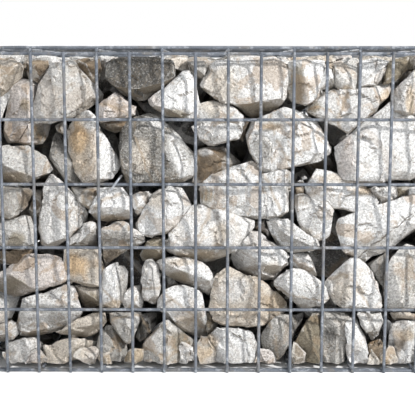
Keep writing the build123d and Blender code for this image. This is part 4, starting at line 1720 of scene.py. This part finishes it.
def makeBinderTree():
    tree, given = newTree("helicalBinder", [
        ("Radius", "Float", 0.01), ("Height", "Float", 0.5), ("Turns", "Float", 10.0),
        ("Wire Radius", "Float", 0.00175), ("Sides", "Int", 8),
    ])
    coil = firstOf(tree, "GeometryNodeCurveSpiral", {
        "Resolution": binderMaking["turnNet"], "Rotations": given["Turns"], "Start Radius": given["Radius"],
        "End Radius": given["Radius"], "Height": given["Height"]})
    ended(tree, sweptWire(tree, coil, given), given["Finish"])
    return tree


def makeRouteTree():
    # Bends the object's own line at its corners and sweeps a round wire along it
    tree, given = newTree("bentWire", [
        ("Geometry", "Geometry", None), ("Bend", "Float", 0.005),
        ("Wire Radius", "Float", 0.002), ("Sides", "Int", 10),
    ])
    line = firstOf(tree, "GeometryNodeMeshToCurve", {"Mesh": given["Geometry"]})
    bent = firstOf(tree, "GeometryNodeFilletCurve", {
        "Curve": line, "Radius": given["Bend"], "Count": tieMaking["bendNet"], "Limit Radius": True,
    }, mode="POLY")
    ended(tree, sweptWire(tree, bent, given), given["Finish"])
    return tree


def grow(name, tree, inputs, start=None, turn=None):
    # Runs a tree on a mesh and keeps the result as a plain mesh, put in its place
    source = start or bpy.data.meshes.new(name + "_start")
    piece = bpy.data.objects.new(name, source)
    scene.collection.objects.link(piece)
    modifier = piece.modifiers.new("grow", "NODES")
    modifier.node_group = tree
    keys = {item.name: item.identifier for item in tree.interface.items_tree if item.in_out == "INPUT"}
    for label, value in inputs.items():
        modifier[keys[label]] = value
    finished = bpy.data.meshes.new_from_object(piece.evaluated_get(bpy.context.evaluated_depsgraph_get()))
    piece.modifiers.remove(modifier)
    piece.data = finished
    finished.name = name
    if turn is not None:
        finished.transform(turn)
    for corner in finished.vertices:       # nothing dips into the ground that the wall stands on
        corner.co.z = max(corner.co.z, wireMaking["ground"])
    return piece


def settle(piece, node):
    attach(piece, "root")
    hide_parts(node)


def addMesh(node, plan, number, tree):
    low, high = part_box(node)
    across, out = Vector(plan["across"]), Vector(plan["out"])
    upwards = across.cross(-out)
    turn = Matrix((across, -out, upwards)).transposed().to_4x4()
    turn.translation = (low + high) / 2
    size = high - low
    piece = grow("round_" + node, tree, {
        "Width": abs(size.dot(across)) - wireMaking["wire"],
        "Height": abs(size.dot(upwards)) - wireMaking["wire"],
        "Columns": plan["columns"],
        "Rows": plan["rows"],
        "Wire Radius": wireMaking["wire"] / 2 + wireMaking["coat"],
        "Press": wireMaking["press"] + wireMaking["coat"],
        "Sides": wireMaking["sides"],
        "Step": wireMaking["step"],
        "Waver": wireMaking["waver"] * (0 if node.startswith("base") else 1),
        "Weld Size": wireMaking["weldSize"],
        "Seed": wireMaking["seedStep"] * number,
        "Finish": meshZinc,
    }, turn=turn)
    settle(piece, node)


def addBinder(node, tree):
    low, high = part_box(node)
    wire = binderMaking["wire"]
    laced = binderMaking["seamLaced" if "seam" in node else "cornerLaced"]
    isBack = node.startswith("back")
    turn = Matrix.Translation(((low.x + high.x) / 2, (low.y + high.y) / 2, low.z + wire / 2))
    turn = turn @ Matrix.Rotation(math.pi / 2 if isBack else -math.pi / 2, 4, "Z")
    piece = grow("round_" + node, tree, {
        "Radius": math.hypot(laced, binderMaking["laced"]) + binderMaking["clearance"] + wire / 2,
        "Height": high.z - low.z - wire,
        "Turns": float(binderMaking["turns"]),
        "Wire Radius": wire / 2,
        "Sides": binderMaking["sides"],
        "Finish": binderZinc,
    }, turn=turn)
    settle(piece, node)


def addTie(node, tree):
    low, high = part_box(node)
    half = tieMaking["wire"] / 2
    tail = Vector((low.x + half, low.y + half, low.z + half))
    rod = Vector((high.x - half, low.y + half, high.z - half))
    corners = [tail, rod, Vector((rod.x, -rod.y, rod.z)), Vector((tail.x, -tail.y, tail.z))]
    start = bpy.data.meshes.new(node + "_route")
    start.from_pydata(corners, [(0, 1), (1, 2), (2, 3)], [])
    piece = grow("round_" + node, tree, {
        "Bend": tieMaking["bend"],
        "Wire Radius": half,
        "Sides": tieMaking["sides"],
        "Finish": binderZinc,
    }, start=start)
    settle(piece, node)


nodes = sorted(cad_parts)
meshNodes = [(node, plan) for node in nodes for kind, plan in meshPlans.items() if node.startswith(kind)]
meshTree = makeMeshTree()
for meshNumber, (node, plan) in enumerate(meshNodes):
    addMesh(node, plan, meshNumber, meshTree)
binderTree = makeBinderTree()
for node in nodes:
    if "binder" in node:
        addBinder(node, binderTree)
routeTree = makeRouteTree()
for node in nodes:
    if node.startswith("bracing_tie"):
        addTie(node, routeTree)

print("gabion wall: done")
